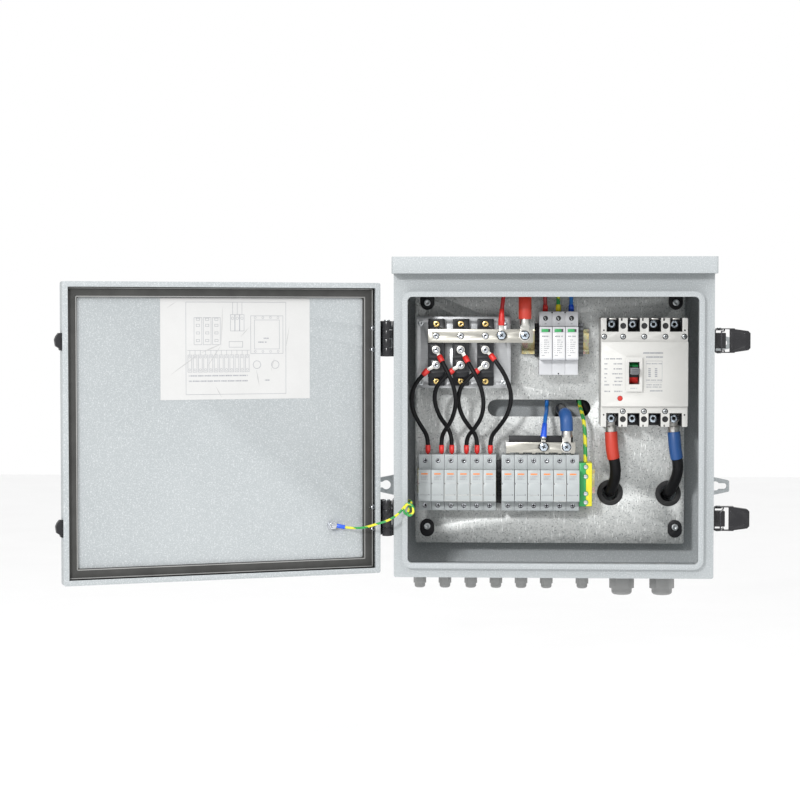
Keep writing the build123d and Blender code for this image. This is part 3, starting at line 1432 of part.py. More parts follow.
def cable_glands():
    """Gland bodies, cap nuts and locknuts, as separate solids."""
    pieces = []
    bottom = BOX_LOW
    for x, size in gland_positions():
        with BuildPart() as body:
            with BuildSketch(down(x, bottom)):
                RegularPolygon(size["hex"], 6, major_radius=False)
            extrude(amount=size["body"])
            with BuildSketch(down(x, bottom)):
                Circle(size["thread"])
            extrude(amount=-SHEET - THREAD_IN)
            with BuildSketch(down(x, bottom + SHEET + THREAD_IN)):
                Circle(size["bore"])
            extrude(amount=SHEET + THREAD_IN + size["body"], mode=Mode.SUBTRACT)
        pieces.append(body.part)
        with BuildPart() as nut:
            with BuildSketch(down(x, bottom - size["body"])):
                RegularPolygon(size["hex"] - 0.3, 6, major_radius=False)
            extrude(amount=size["nut"] * 0.62)
            with BuildSketch(down(x, bottom - size["body"] - size["nut"] * 0.62)):
                Circle(size["nut_r"] - 0.4)
            extrude(amount=size["nut"] * 0.38)
            fillet(nut.faces().sort_by(Axis.Z)[0].edges(), size["nut"] * 0.2)
            with BuildSketch(down(x, bottom - size["body"])):
                Circle(size["bore"])
            extrude(amount=size["nut"], mode=Mode.SUBTRACT)
        pieces.append(nut.part)
        with BuildPart() as locknut:
            with BuildSketch(down(x, bottom + SHEET)):
                RegularPolygon(size["hex"] + 1, 6, major_radius=False)
                Circle(size["thread"] + RUN_CLEAR, mode=Mode.SUBTRACT)
            extrude(amount=-LOCKNUT_T)
        pieces.append(locknut.part)
    return pieces


def gland_seals():
    seals = []
    for x, size in gland_positions():
        top = BOX_LOW - size["body"]
        with BuildPart() as seal:
            with BuildSketch(down(x, top)):
                Circle(size["bore"] - RUN_CLEAR)
                Circle(size["seal"], mode=Mode.SUBTRACT)
            extrude(amount=size["nut"])
        seals.append(seal.part)
    return seals


# ---------------------------------------------------------------- wires

PALM_T = 2
RING_T = 1

# Route points are (x, height, z), from one end to the other.
STRING_ROUTES = {
    "a": [
        (-175.5, 113.5, 61.5), (-187, 111.5, 50), (-195.4, 105, 30), (-192.4, 94, 6), (-180.7, 82, -15),
        (-172.6, 70, -29), (-172.6, 70, -43.5),
    ],
    "b": [
        (-152.8, 114, 80), (-143.8, 121, 63), (-135.6, 119, 45), (-131.6, 109, 20), (-138.6, 96, -5),
        (-149.2, 83, -20), (-153.5, 70, -30), (-153.5, 70, -43.5),
    ],
    "c": [
        (-141, 113.5, 62), (-151.2, 112.5, 53), (-161.1, 106, 40), (-163.1, 96, 22), (-156.1, 84, 0),
        (-145, 73, -15), (-139.1, 70, -29), (-139.1, 70, -43.5),
    ],
    "d": [
        (-117.2, 114, 79), (-108.5, 121, 64), (-99.5, 119, 47), (-93.6, 110, 24), (-96.6, 97, 0),
        (-108.5, 84, -18), (-118.6, 70, -30), (-118.6, 70, -43.5),
    ],
    "e": [
        (-106.5, 113.5, 62), (-117.2, 112.5, 53), (-127.4, 105, 40), (-130.4, 96, 20), (-123.4, 84, -2),
        (-111.5, 73, -18), (-103.7, 70, -30), (-103.7, 70, -43.5),
    ],
    "f": [
        (-81, 114, 82), (-71.5, 118, 70), (-61.1, 114, 51), (-55.1, 107, 28), (-61.1, 96, 3), (-74.5, 83, -16),
        (-85.1, 70, -29), (-85.1, 70, -43.5),
    ],
}
POSITIVE_ROUTE = [
    (83, 74, -21), (84.2, 74, -46), (91.5, 67, -78), (84.5, 50, -107), (83.5, 18, -108.5), (80, 18, -66),
    (56, 18, 6), (4, 18, 82), (-34, 18, 142), (-37, 18, 198), (-37, 74, 198), (-37.7, 119.5, 165), (-37.7, 119.5, 136),
]
NEGATIVE_ROUTE = [
    (170, 74, -21), (172, 74, -46), (178.5, 68, -76), (166, 51, -107.5), (165, 18, -109.5), (150, 18, -146),
    (92, 18, -158), (36, 18, -122), (13, 18, -58), (14, 18, 10), (14, 62, 9), (20, 94.5, 2), (20.6, 95.5, -19),
]
RED_LEAD = [
    (-8.9, 70, 147), (-8.9, 70, 168), (-13, 82, 188), (-37, 101, 199), (-60, 110, 190), (-69, 116, 164), (-69.8, 116, 136),
]
BLUE_LEAD = [
    (27.1, 70, 147), (27.1, 70, 170), (27, 54, 194), (27, 28, 195), (27, 19, 168), (26, 18, 132), (18, 22, 104),
    (6, 32, 72), (-4, 33, 42), (-6, 30, 11), (-6, 56, 9), (-9, 84, -2), (-10.9, 92, -22),
]
EARTH_LEAD = [
    (9.1, 70, 147), (9.1, 70, 168), (9, 55, 192), (9, 30, 194), (10, 31, 164), (14, 32, 124), (24, 33, 80),
    (37, 33, 44), (41, 31, 12), (42, 54, 9), (46, 76, -10), (47.5, 70, -44), (47.5, 70, -64),
]
DOOR_LUG = (-291.3, 196.4, -142)
DOOR_LEAD = [
    (-279.5, 196, -144), (-267, 196, -145.5), (-252, 203.5, -143.5), (-236, 212.5, -138), (-219, 214.5, -132.5),
    (-204, 208, -127),
]
DOOR_TAIL = [(-191, 196, -112), (-190.5, 182, -110), (-195, 167, -110), (-203, 158, -112)]


BEND_SHARE = 0.45


def cord(name, route, diameter):
    """A tube of straight runs joined by tangent arcs as large as their runs allow."""
    points = [at(*p) for p in route]
    runs = [b - a for a, b in zip(points, points[1:])]
    radii = []
    for before, after in zip(runs, runs[1:]):
        turn = math.radians(before.get_angle(after))
        radii.append(BEND_SHARE * min(before.length, after.length) / math.tan(turn / 2))
    with BuildPart() as tube:
        with BuildLine() as path:
            FilletPolyline(*points, radius=radii)
        with BuildSketch(Plane(origin=points[0], z_dir=runs[0])):
            Circle(diameter / 2)
        sweep()
    length = path.wires()[0].length if path.wires() else path.line.length
    share = tube.part.volume / (math.pi * diameter**2 / 4 * length)
    print(f"{name}: length {length:.0f}, volume share {share:.3f}, radii", [round(r) for r in radii])
    return tube.part


def lug(centre, start, towards, palm_r, hole_r, palm_t, barrel_r, barrel_long):
    """A ring lug: a flat eye round a bolt, and a barrel along the first run of its wire."""
    origin, end = at(*centre), at(*start)
    along = (at(*towards) - end).normalized()
    root = end - along * barrel_long
    flat = Vector(root.X - origin.X, 0, root.Z - origin.Z)
    with BuildPart() as piece:
        with BuildSketch(Plane(origin=origin, x_dir=flat, z_dir=(0, -1, 0))):
            Circle(palm_r)
            with Locations(((flat.length + 2) / 2, 0)):
                Rectangle(flat.length + 2, 1.5 * barrel_r)
            Circle(hole_r, mode=Mode.SUBTRACT)
        extrude(amount=palm_t)
        with BuildSketch(Plane(origin=root, z_dir=along)):
            Circle(barrel_r)
        extrude(amount=barrel_long)
        with BuildSketch(Plane(origin=(root.X, origin.Y, root.Z), x_dir=flat, z_dir=(0, -1, 0))):
            with Locations((1.5, 0)):
                Rectangle(3, 1.4 * barrel_r)
        extrude(amount=abs(root.Y - origin.Y))
    return piece.part


def sleeve(route, inner_r, outer_r):
    """Heat-shrink sleeve that follows a cable's first run and its first bend."""
    start, corner, after = (at(*p) for p in route[:3])
    first, second = corner - start, after - corner
    reach = BEND_SHARE * min(first.length, second.length)
    radius = reach / math.tan(math.radians(first.get_angle(second)) / 2)
    end = corner + second.normalized() * (reach + 1)
    with BuildPart() as tube:
        with BuildLine():
            FilletPolyline(start, corner, end, radius=radius)
        with BuildSketch(Plane(origin=start, z_dir=first)):
            Circle(outer_r)
            Circle(inner_r, mode=Mode.SUBTRACT)
        sweep()
    return tube.part


def wire_terminations():
    """Ring lugs on the diodes and busbars, ferrules in the fuse bases, sleeves on the cables."""
    pieces = []
    anodes = {
        "a": (DIODE_X[0], ANODE_Z[1]),
        "b": (DIODE_X[0], ANODE_Z[0]),
        "c": (DIODE_X[1], ANODE_Z[1]),
        "d": (DIODE_X[1], ANODE_Z[0]),
        "e": (DIODE_X[2], ANODE_Z[1]),
        "f": (DIODE_X[2], ANODE_Z[0]),
    }
    pad = DIODE_TOP + PAD_T
    for key, (x, z) in anodes.items():
        route = STRING_ROUTES[key]
        pieces.append(lug((x, pad, z), route[0], route[1], 5.5, SCREW_HOLE_R, RING_T, 3.2, 7))
        foot = route[-1]
        with BuildPart() as ferrule:
            with BuildSketch(Plane.XY.offset(foot[2])):
                with Locations((foot[0], -foot[1])):
                    Circle(STRING_D / 2 + 0.3)
            extrude(amount=-8)
            with BuildSketch(Plane.XY.offset(foot[2] - 8)):
                with Locations((foot[0], -foot[1])):
                    Circle(1.6)
            extrude(amount=-10)
        pieces.append(ferrule.part)
    bar = DIODE_TOP + PAD_T + BAR_T
    neg = NEG_BAR_HEIGHT + BAR_T
    for (x, z), height, route in (
        (POS_BOLTS[0], bar, RED_LEAD[::-1]),
        (NEG_BOLTS[0], neg, BLUE_LEAD[::-1]),
    ):
        pieces.append(lug((x, height, z), route[0], route[1], 6, BOLT_R + RUN_CLEAR, PALM_T, 4, 9))
    for (x, z), height, route in (
        (POS_BOLTS[1], bar, POSITIVE_ROUTE[::-1]),
        (NEG_BOLTS[1], neg, NEGATIVE_ROUTE[::-1]),
    ):
        pieces.append(lug((x, height, z), route[0], route[1], 8, BOLT_R + RUN_CLEAR, PALM_T, POWER_D / 2, 9))
    for pole, route in ((0, POSITIVE_ROUTE), (3, NEGATIVE_ROUTE)):
        centre = (pole_centres()[pole], TERMINAL_FRONT, POLE_BOLT_Z[1])
        pieces.append(lug(centre, route[0], route[1], 8, POLE_BOLT_R + RUN_CLEAR, PALM_T, POWER_D / 2, 8))
    for route in (POSITIVE_ROUTE, NEGATIVE_ROUTE, POSITIVE_ROUTE[::-1], NEGATIVE_ROUTE[::-1]):
        pieces.append(sleeve(route, POWER_D / 2 + 0.1, POWER_D / 2 + 1.1))
    return pieces


def door_earth_wire():
    """Flexible earth lead from the door stud to the cabinet, with a small slack coil."""
    with BuildPart() as coil:
        with BuildSketch(facing(-193.5, 196, -119)):
            SlotOverall(20, 15, rotation=80)
            Circle(3, mode=Mode.SUBTRACT)
        extrude(amount=9)
    return [cord("door lead", DOOR_LEAD, EARTH_D), coil.part, cord("door tail", DOOR_TAIL, EARTH_D)]


# ---------------------------------------------------------------- write every node

save("box_body", box_body())
save("rain_hood", rain_hood())
save("mounting_ears", *mounting_ears())
save("plate_standoffs", *plate_standoffs())
save("mounting_plate", mounting_plate())
save("plate_clamps", *plate_clamps())
save("plate_screws", *plate_screws())
save("cable_grommets", *cable_grommets())
save("hinge_body_leaves", *hinge_body_leaves())
save("pivot_pins", *hinge_pins(), *latch_rivets())
save("side_screws", *side_screws())
save("latch_bases", *latch_bases())
save("heat_sink", heat_sink())
save("diode_modules", *diode_modules())
save("positive_busbar", positive_busbar())
save("negative_busbar", negative_busbar())
save("busbar_insulator", busbar_insulator())
save("terminal_bolts", *terminal_bolts(), *breaker_terminals())
save("din_rails", *din_rails())
save("rail_end_stops", *rail_end_stops())
save("spd_base", spd_base())
save("fuse_bases", *fuse_bases())
save("terminal_screws", *terminal_screws())
save("earth_terminals", *earth_terminals())
save("breaker_base", breaker_base())
save("breaker_cover", breaker_cover())
save("breaker_handle", breaker_handle())
save("trip_button", trip_button())
save("cable_glands", *cable_glands(), *gland_seals())

for number, x in enumerate(spd_modules(), start=1):
    save(f"spd_cartridge_{number}", spd_cartridge(x))
for number, x in enumerate(fuse_centres(), start=1):
    save(f"fuse_carrier_{number:02d}", *fuse_carrier(x))
for place, z in zip(("upper", "lower"), LATCH_Z):
    save(f"latch_lever_{place}", latch_lever(z))
    save(f"latch_bail_{place}", latch_bail(z))

save("string_wires", *[cord(f"string {key}", route, STRING_D) for key, route in STRING_ROUTES.items()])
save("power_cables", cord("positive", POSITIVE_ROUTE, POWER_D), cord("negative", NEGATIVE_ROUTE, POWER_D))
save(
    "spd_leads",
    cord("red lead", RED_LEAD, LEAD_D),
    cord("blue lead", BLUE_LEAD, LEAD_D),
    cord("earth lead", EARTH_LEAD, LEAD_D),
)
save("wire_terminations", *wire_terminations())
save("door_earth_wire", *door_earth_wire())

for name, shapes in (
    ("door_panel", [door_panel()]),
    ("door_gasket", [door_gasket()]),
    ("hinge_door_leaves", hinge_door_leaves()),
    ("latch_keepers", latch_keepers()),
    ("wiring_diagram", [wiring_diagram()]),
):
    save(name, *[swing(shape, HINGE_X, HINGE_HEIGHT, -DOOR_OPEN) for shape in shapes])

fasteners = [swing(s, HINGE_X, HINGE_HEIGHT, -DOOR_OPEN) for s in hinge_door_fasteners() + door_earth_stud()]
save("door_fasteners", *fasteners, door_lug_barrel())
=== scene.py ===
"""Looks of the DC combiner box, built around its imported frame.

Helpers take millimetres: x to the right, a height out from the wall, and z up.
"""

import math

import bmesh
import bpy
from mathutils import Matrix, Vector


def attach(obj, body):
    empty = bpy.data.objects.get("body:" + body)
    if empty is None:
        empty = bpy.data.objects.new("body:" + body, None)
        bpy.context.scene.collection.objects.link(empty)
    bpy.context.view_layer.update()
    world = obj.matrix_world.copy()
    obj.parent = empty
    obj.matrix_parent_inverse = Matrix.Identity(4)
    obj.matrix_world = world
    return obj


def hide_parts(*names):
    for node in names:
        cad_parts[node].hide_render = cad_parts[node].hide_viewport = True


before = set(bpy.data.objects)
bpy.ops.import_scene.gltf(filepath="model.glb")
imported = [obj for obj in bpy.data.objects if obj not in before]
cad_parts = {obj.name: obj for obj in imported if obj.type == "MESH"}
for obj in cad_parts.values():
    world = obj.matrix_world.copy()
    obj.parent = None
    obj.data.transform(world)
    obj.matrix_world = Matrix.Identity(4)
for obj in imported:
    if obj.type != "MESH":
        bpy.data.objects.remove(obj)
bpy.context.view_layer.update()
MM = 0.001

# Sizes shared with the solids
HINGE = (-224, 180)
DOOR_OPEN = 157.5
MODULE_W = 18
FUSE_X = [start + i * MODULE_W for start in (-176, -60.6) for i in range(6)]
SPD_X = [9.1 + i * MODULE_W for i in (-1, 0, 1)]
BREAKER_X = 126.5
POLE_PITCH = 29
POLE_X = [BREAKER_X + (i - 1.5) * POLE_PITCH for i in range(4)]
BETWEEN_X = [BREAKER_X + i * POLE_PITCH for i in (-1, 0, 1)]
# How far out from the wall the faces of the devices stand, and the thickness of a print
CARRIER_FACE = 104.85
BASE_FACE = 82
SPD_FACE = 88
CARTRIDGE_FACE = 110
COVER_LOW = 103.6
COVER_FACE = 112
PRINT = 0.08


def at(x, height, z):
    return Vector((x, -height, z)) * MM


# ------------------------------------------------------------------ materials


class Nodes:
    """A short way to write a node tree."""

    def __init__(self, material):
        material.use_nodes = True
        self.tree = material.node_tree
        self.tree.nodes.clear()
        self.coords = self.add("ShaderNodeTexCoord")
        self.shader = self.add("ShaderNodeBsdfPrincipled")
        out = self.add("ShaderNodeOutputMaterial")
        self.link(self.shader.outputs[0], out.inputs[0])

    def add(self, kind, **values):
        node = self.tree.nodes.new(kind)
        for key, value in values.items():
            if hasattr(node, key):
                setattr(node, key, value)
            else:
                node.inputs[key].default_value = value
        return node

    def link(self, source, target):
        self.tree.links.new(source, target)

    def noise(self, scale, detail=4, stretch=None):
        """Fractal noise on the object's own coordinates."""
        node = self.add("ShaderNodeTexNoise", Scale=scale, Detail=detail, Roughness=0.55)
        self.link(self.place(stretch), node.inputs["Vector"])
        return node.outputs["Fac"]

    def place(self, stretch=None):
        if not stretch:
            return self.coords.outputs["Object"]
        mapping = self.add("ShaderNodeMapping")
        mapping.inputs["Scale"].default_value = stretch
        self.link(self.coords.outputs["Object"], mapping.inputs["Vector"])
        return mapping.outputs["Vector"]

    def ramp(self, source, stops):
        node = self.add("ShaderNodeValToRGB")
        elements = node.color_ramp.elements
        while len(elements) < len(stops):
            elements.new(0.5)
        for element, (place, colour) in zip(elements, stops):
            element.position = place
            element.color = (*colour, 1) if len(colour) == 3 else colour
        self.link(source, node.inputs[0])
        return node.outputs[0]

    def spread(self, source, low, high, start=0.3, end=0.7):
        node = self.add("ShaderNodeMapRange")
        for index, value in enumerate((start, end, low, high), start=1):
            node.inputs[index].default_value = value
        self.link(source, node.inputs[0])
        return node.outputs[0]

    def mix(self, factor, one, two):
        node = self.add("ShaderNodeMix", data_type="RGBA")
        for socket, value in zip((node.inputs[0], node.inputs[6], node.inputs[7]), (factor, one, two)):
            if isinstance(value, (int, float)):
                socket.default_value = value
            elif isinstance(value, tuple):
                socket.default_value = (*value, 1)
            else:
                self.link(value, socket)
        return node.outputs[2]

    def bump(self, source, distance, strength=1.0, under=None):
        node = self.add("ShaderNodeBump", Strength=strength, Distance=distance)
        self.link(source, node.inputs["Height"])
        if under:
            self.link(under, node.inputs["Normal"])
        return node.outputs[0]

    def edges(self):
        """One within a fraction of a millimetre of a sharp edge, nothing on the flats."""
        rounded = self.add("ShaderNodeBevel", samples=4, Radius=0.7 * MM)
        geometry = self.add("ShaderNodeNewGeometry")
        agree = self.add("ShaderNodeVectorMath", operation="DOT_PRODUCT")
        self.link(rounded.outputs[0], agree.inputs[0])
        self.link(geometry.outputs["Normal"], agree.inputs[1])
        return self.spread(agree.outputs["Value"], 1, 0, 0.78, 0.99)


def shade(colour, factor):
    return tuple(min(1.0, c * factor) for c in colour)


def finish(name, colour, rough=0.5, metal=0.0, grain=900, bump=0.03, vary=0.07, wear=0.15,
           coat=0.0, worn=None, shine=0.5):
    """A general finish: mottled colour, uneven gloss, fine grain and rubbed edges."""
    material = bpy.data.materials.new(name)
    n = Nodes(material)
    patches = n.noise(30, 5)
    fine = n.noise(grain, 3)
    base = n.ramp(patches, [(0.3, shade(colour, 1 - vary)), (0.7, shade(colour, 1 + vary))])
    base = n.mix(n.spread(fine, 0, 0.12), base, shade(colour, 0.8))
    if wear:
        rub = n.add("ShaderNodeMath", operation="MULTIPLY")
        n.link(n.edges(), rub.inputs[0])
        n.link(n.spread(n.noise(220, 4), 0, wear, 0.35, 0.65), rub.inputs[1])
        base = n.mix(rub.outputs[0], base, worn or shade(colour, 1.35))
    n.link(base, n.shader.inputs["Base Color"])
    n.link(n.spread(n.noise(81, 4), rough - 0.08, rough + 0.08), n.shader.inputs["Roughness"])
    n.shader.inputs["Metallic"].default_value = metal
    n.shader.inputs["Coat Weight"].default_value = coat
    n.shader.inputs["Specular IOR Level"].default_value = shine
    n.link(n.bump(fine, bump * MM), n.shader.inputs["Normal"])
    return material


def paint():
    """Light grey powder coat with its fine orange peel."""
    material = bpy.data.materials.new("powder_coat")
    n = Nodes(material)
    tone = n.ramp(n.noise(6, 4), [(0.3, (0.33, 0.355, 0.365)), (0.7, (0.36, 0.385, 0.395))])
    speck = n.spread(n.noise(700, 3), 0, 0.7, 0.5, 0.68)
    tone = n.mix(speck, tone, (0.56, 0.58, 0.59))
    rub = n.add("ShaderNodeMath", operation="MULTIPLY")
    n.link(n.edges(), rub.inputs[0])
    n.link(n.spread(n.noise(90, 4), 0, 0.3, 0.4, 0.7), rub.inputs[1])
    tone = n.mix(rub.outputs[0], tone, (0.72, 0.74, 0.76))
    n.link(tone, n.shader.inputs["Base Color"])
    n.link(n.spread(n.noise(900, 3), 0.5, 0.58), n.shader.inputs["Roughness"])
    peel = n.bump(n.noise(420, 2), 0.16 * MM)
    n.link(n.bump(n.noise(1600, 2), 0.02 * MM, 1, peel), n.shader.inputs["Normal"])
    return material


def galvanised():
    """Zinc sheet: crystals of slightly different tone and gloss, dark specks and fine scratches."""
    material = bpy.data.materials.new("galvanised")
    n = Nodes(material)
    cells = n.add("ShaderNodeTexVoronoi", feature="F1", Scale=420.0, Randomness=1.0)
    warp = n.noise(90, 3)
    shifted = n.add("ShaderNodeVectorMath", operation="ADD")
    n.link(n.coords.outputs["Object"], shifted.inputs[0])
    scaled = n.add("ShaderNodeVectorMath", operation="SCALE", Scale=0.004)
    n.link(warp, scaled.inputs[0])
    n.link(scaled.outputs[0], shifted.inputs[1])
    n.link(shifted.outputs[0], cells.inputs["Vector"])
    bw = n.add("ShaderNodeRGBToBW")
    n.link(cells.outputs["Color"], bw.inputs[0])
    tone = n.ramp(bw.outputs[0], [(0.2, (0.44, 0.455, 0.45)), (0.8, (0.56, 0.57, 0.56))])
    tone = n.mix(n.spread(n.noise(14, 4), 0, 0.2), tone, (0.36, 0.37, 0.37))
    tone = n.mix(n.spread(n.noise(520, 3), 0, 0.75, 0.58, 0.66), tone, (0.13, 0.14, 0.14))
    scratch = n.noise(110, 2, (7, 7, 0.8))
    tone = n.mix(n.spread(scratch, 0, 0.75, 0.64, 0.7), tone, (0.9, 0.91, 0.9))
    n.link(tone, n.shader.inputs["Base Color"])
    n.shader.inputs["Metallic"].default_value = 0.8
    n.link(n.spread(bw.outputs[0], 0.4, 0.55, 0.2, 0.8), n.shader.inputs["Roughness"])
    soft = n.bump(n.noise(45, 3), 0.12 * MM)
    n.link(n.bump(n.noise(700, 4), 0.05 * MM, 1, soft), n.shader.inputs["Normal"])
    return material


def brushed(name, colour, rough=0.32, along=(1, 1, 1)):
    """Metal with drawn or milled lines; the lines run where the stretch is small."""
    material = bpy.data.materials.new(name)
    n = Nodes(material)
    lines = n.noise(1500, 3, along)
    tone = n.ramp(lines, [(0.3, shade(colour, 0.86)), (0.7, shade(colour, 1.08))])
    tone = n.mix(n.spread(n.noise(50, 5), 0, 0.25), tone, shade(colour, 0.82))
    tone = n.mix(n.edges(), tone, shade(colour, 1.25))
    n.link(tone, n.shader.inputs["Base Color"])
    n.shader.inputs["Metallic"].default_value = 1
    n.link(n.spread(n.noise(70, 4), rough - 0.07, rough + 0.09), n.shader.inputs["Roughness"])
    n.link(n.bump(lines, 0.02 * MM), n.shader.inputs["Normal"])
    return material


def chromate():
    """Yellow passivated zinc with its rainbow of pink and green."""
    material = bpy.data.materials.new("yellow_chromate")
    n = Nodes(material)
    tone = n.ramp(
        n.noise(70, 3),
        [(0.28, (0.50, 0.38, 0.16)), (0.42, (0.62, 0.52, 0.26)), (0.52, (0.50, 0.52, 0.34)),
         (0.62, (0.60, 0.38, 0.36)), (0.74, (0.42, 0.46, 0.46))],
    )
    n.link(tone, n.shader.inputs["Base Color"])
    n.shader.inputs["Metallic"].default_value = 0.85
    n.link(n.spread(n.noise(200, 3), 0.22, 0.36), n.shader.inputs["Roughness"])
    n.link(n.bump(n.noise(900, 3), 0.01 * MM), n.shader.inputs["Normal"])
    return material


def striped_earth():
    """Green insulation with yellow stripes wound along it."""
    material = bpy.data.materials.new("earth_wire")
    n = Nodes(material)
    wave = n.add("ShaderNodeTexWave", wave_type="BANDS", bands_direction="DIAGONAL")
    wave.inputs["Scale"].default_value = 26
    wave.inputs["Distortion"].default_value = 1.5
    wave.inputs["Detail Scale"].default_value = 20
    n.link(n.coords.outputs["Object"], wave.inputs["Vector"])
    tone = n.ramp(wave.outputs["Fac"], [(0.56, (0.03, 0.30, 0.07)), (0.6, (0.78, 0.72, 0.03))])
    n.link(n.mix(n.spread(n.noise(400, 3), 0, 0.2), tone, (0.02, 0.10, 0.03)), n.shader.inputs["Base Color"])
    n.link(n.spread(n.noise(120, 3), 0.35, 0.5), n.shader.inputs["Roughness"])
    n.link(n.bump(n.noise(900, 2), 0.03 * MM), n.shader.inputs["Normal"])
    return material


M = {
    "paint": paint(),
    "galvanised": galvanised(),
    "zinc": finish("zinc", (0.44, 0.46, 0.47), 0.3, 1.0, 1400, 0.02, 0.1, 0.3),
    "bright": finish("bright_zinc", (0.55, 0.57, 0.60), 0.18, 1.0, 900, 0.01, 0.05, 0.2),
    "brass": finish("brass", (0.72, 0.52, 0.20), 0.28, 1.0, 1100, 0.02, 0.12, 0.3),
    "tin": brushed("tin", (0.42, 0.41, 0.37), 0.36, (0.15, 1, 1)),
    "tin_soft": finish("tin_plain", (0.56, 0.55, 0.52), 0.34, 1.0, 900, 0.02, 0.08, 0.2),
    "alu": brushed("aluminium", (0.46, 0.47, 0.48), 0.36, (0.06, 1, 1)),
    "chromate": chromate(),
    "black_gloss": finish(
        "black_gloss", (0.012, 0.012, 0.014), 0.26, 0, 500, 0.02, 0.2, 0.5,
        coat=0.1, worn=(0.09, 0.09, 0.1), shine=0.35,
    ),
    "black": finish(
        "black_plastic", (0.016, 0.016, 0.018), 0.45, 0, 1500, 0.03, 0.2, 0.5,
        worn=(0.09, 0.09, 0.095), shine=0.25,
    ),
    "module": finish(
        "module_black", (0.014, 0.015, 0.018), 0.36, 0, 1700, 0.02, 0.2, 0.4,
        worn=(0.08, 0.08, 0.09), shine=0.3,
    ),
    "cable": finish(
        "cable_black", (0.012, 0.012, 0.013), 0.34, 0, 700, 0.05, 0.2, 0.3,
        worn=(0.06, 0.06, 0.06), shine=0.12,
    ),
    "rubber": finish(
        "rubber", (0.02, 0.02, 0.021), 0.5, 0, 900, 0.05, 0.2, 0.3,
        worn=(0.08, 0.08, 0.08), shine=0.3,
    ),
    "foam": finish(
        "gasket_foam", (0.05, 0.05, 0.048), 0.75, 0, 1300, 0.12, 0.18, 0.5,
        worn=(0.14, 0.14, 0.135), shine=0.3,
    ),
    "device": finish("device_grey", (0.42, 0.45, 0.455), 0.42, 0, 1400, 0.02, 0.03, 0.25),
    "device_dark": finish("device_shadow", (0.42, 0.44, 0.46), 0.45, 0, 1400, 0.02, 0.04, 0.2),
    "spd": finish("protector_grey", (0.58, 0.59, 0.61), 0.4, 0, 1400, 0.02, 0.03, 0.25),
    "white": finish("breaker_white", (0.62, 0.615, 0.59), 0.4, 0, 1200, 0.02, 0.03, 0.25),
    "label": finish("label", (0.70, 0.70, 0.70), 0.35, 0, 500, 0.01, 0.02, 0.0),
    "paper": finish("paper", (0.53, 0.53, 0.525), 0.7, 0, 600, 0.04, 0.02, 0.0),
    "ink": finish("ink", (0.045, 0.045, 0.05), 0.5, 0, 900, 0.0, 0.15, 0.0),
    "ink_grey": finish("ink_grey", (0.30, 0.31, 0.33), 0.5, 0, 900, 0.0, 0.1, 0.0),
    "orange": finish("orange", (0.80, 0.22, 0.03), 0.45, 0, 900, 0.01, 0.06, 0.0),
    "green": finish("green", (0.03, 0.36, 0.10), 0.4, 0, 900, 0.01, 0.08, 0.1),
    "yellow": finish("yellow", (0.80, 0.70, 0.02), 0.42, 0, 900, 0.02, 0.06, 0.1),
    "red": finish("red_sleeve", (0.68, 0.03, 0.025), 0.34, 0, 900, 0.04, 0.1, 0.2),
    "red_wire": finish("red_wire", (0.36, 0.012, 0.014), 0.34, 0, 900, 0.04, 0.1, 0.2),
    "red_shrink": finish("red_shrink", (0.55, 0.045, 0.025), 0.42, 0, 700, 0.05, 0.08, 0.2),
    "blue": finish("blue_sleeve", (0.015, 0.09, 0.62), 0.3, 0, 900, 0.04, 0.1, 0.2),
    "blue_wire": finish("blue_wire", (0.015, 0.15, 0.50), 0.36, 0, 900, 0.04, 0.1, 0.2),
    "blue_shrink": finish("blue_shrink", (0.02, 0.085, 0.27), 0.42, 0, 700, 0.05, 0.08, 0.2),
    # painted shade: near black standing in for the shade inside holes, slots, recesses and gaps
    "hole": finish("hole_shade_black", (0.006, 0.006, 0.007), 0.6, 0, 900, 0.0, 0.1, 0.0),
    "button": finish("button_red", (0.52, 0.02, 0.012), 0.4, 0, 900, 0.01, 0.05, 0.1),
    # painted shade: darker grey along the paper's fold creases
    "crease_shade": finish("paper_crease_shade", (0.40, 0.40, 0.40), 0.7, 0, 600, 0.03, 0.06, 0.0),
    "wire_dark": finish("dark_wire", (0.06, 0.06, 0.065), 0.24, 1.0, 900, 0.01, 0.2, 0.3),
    "blued": finish("blue_zinc", (0.46, 0.52, 0.58), 0.2, 1.0, 900, 0.01, 0.1, 0.2),
    # painted highlight: light grey standing for the light on the gasket's ridges
    "bead_highlight": finish("gasket_bead_highlight", (0.26, 0.26, 0.255), 0.55, 0, 1100, 0.05, 0.12, 0.3),
    "gland": finish("gland_grey", (0.24, 0.243, 0.24), 0.42, 0, 1200, 0.03, 0.05, 0.3),
    "handle": finish("handle_grey", (0.14, 0.145, 0.155), 0.42, 0, 1200, 0.03, 0.05, 0.3),
    "earth": striped_earth(),
    "glass": finish("fuse_body", (0.74, 0.73, 0.68), 0.3, 0, 900, 0.01, 0.04, 0.0),
}


# ------------------------------------------------------------------ mesh building


def axes(direction, along=None):
    """A matrix whose Z is the direction and whose X is near `along`."""
    z = Vector(direction).normalized()
    x = Vector(along or ((1, 0, 0) if abs(z.x) < 0.9 else (0, 0, 1)))
    x = (x - z * x.dot(z)).normalized()
    y = z.cross(x)
    return Matrix((x, y, z)).transposed()


OUT = (0, -1, 0)
UP = (0, 0, 1)
INWARD = (0, 1, 0)


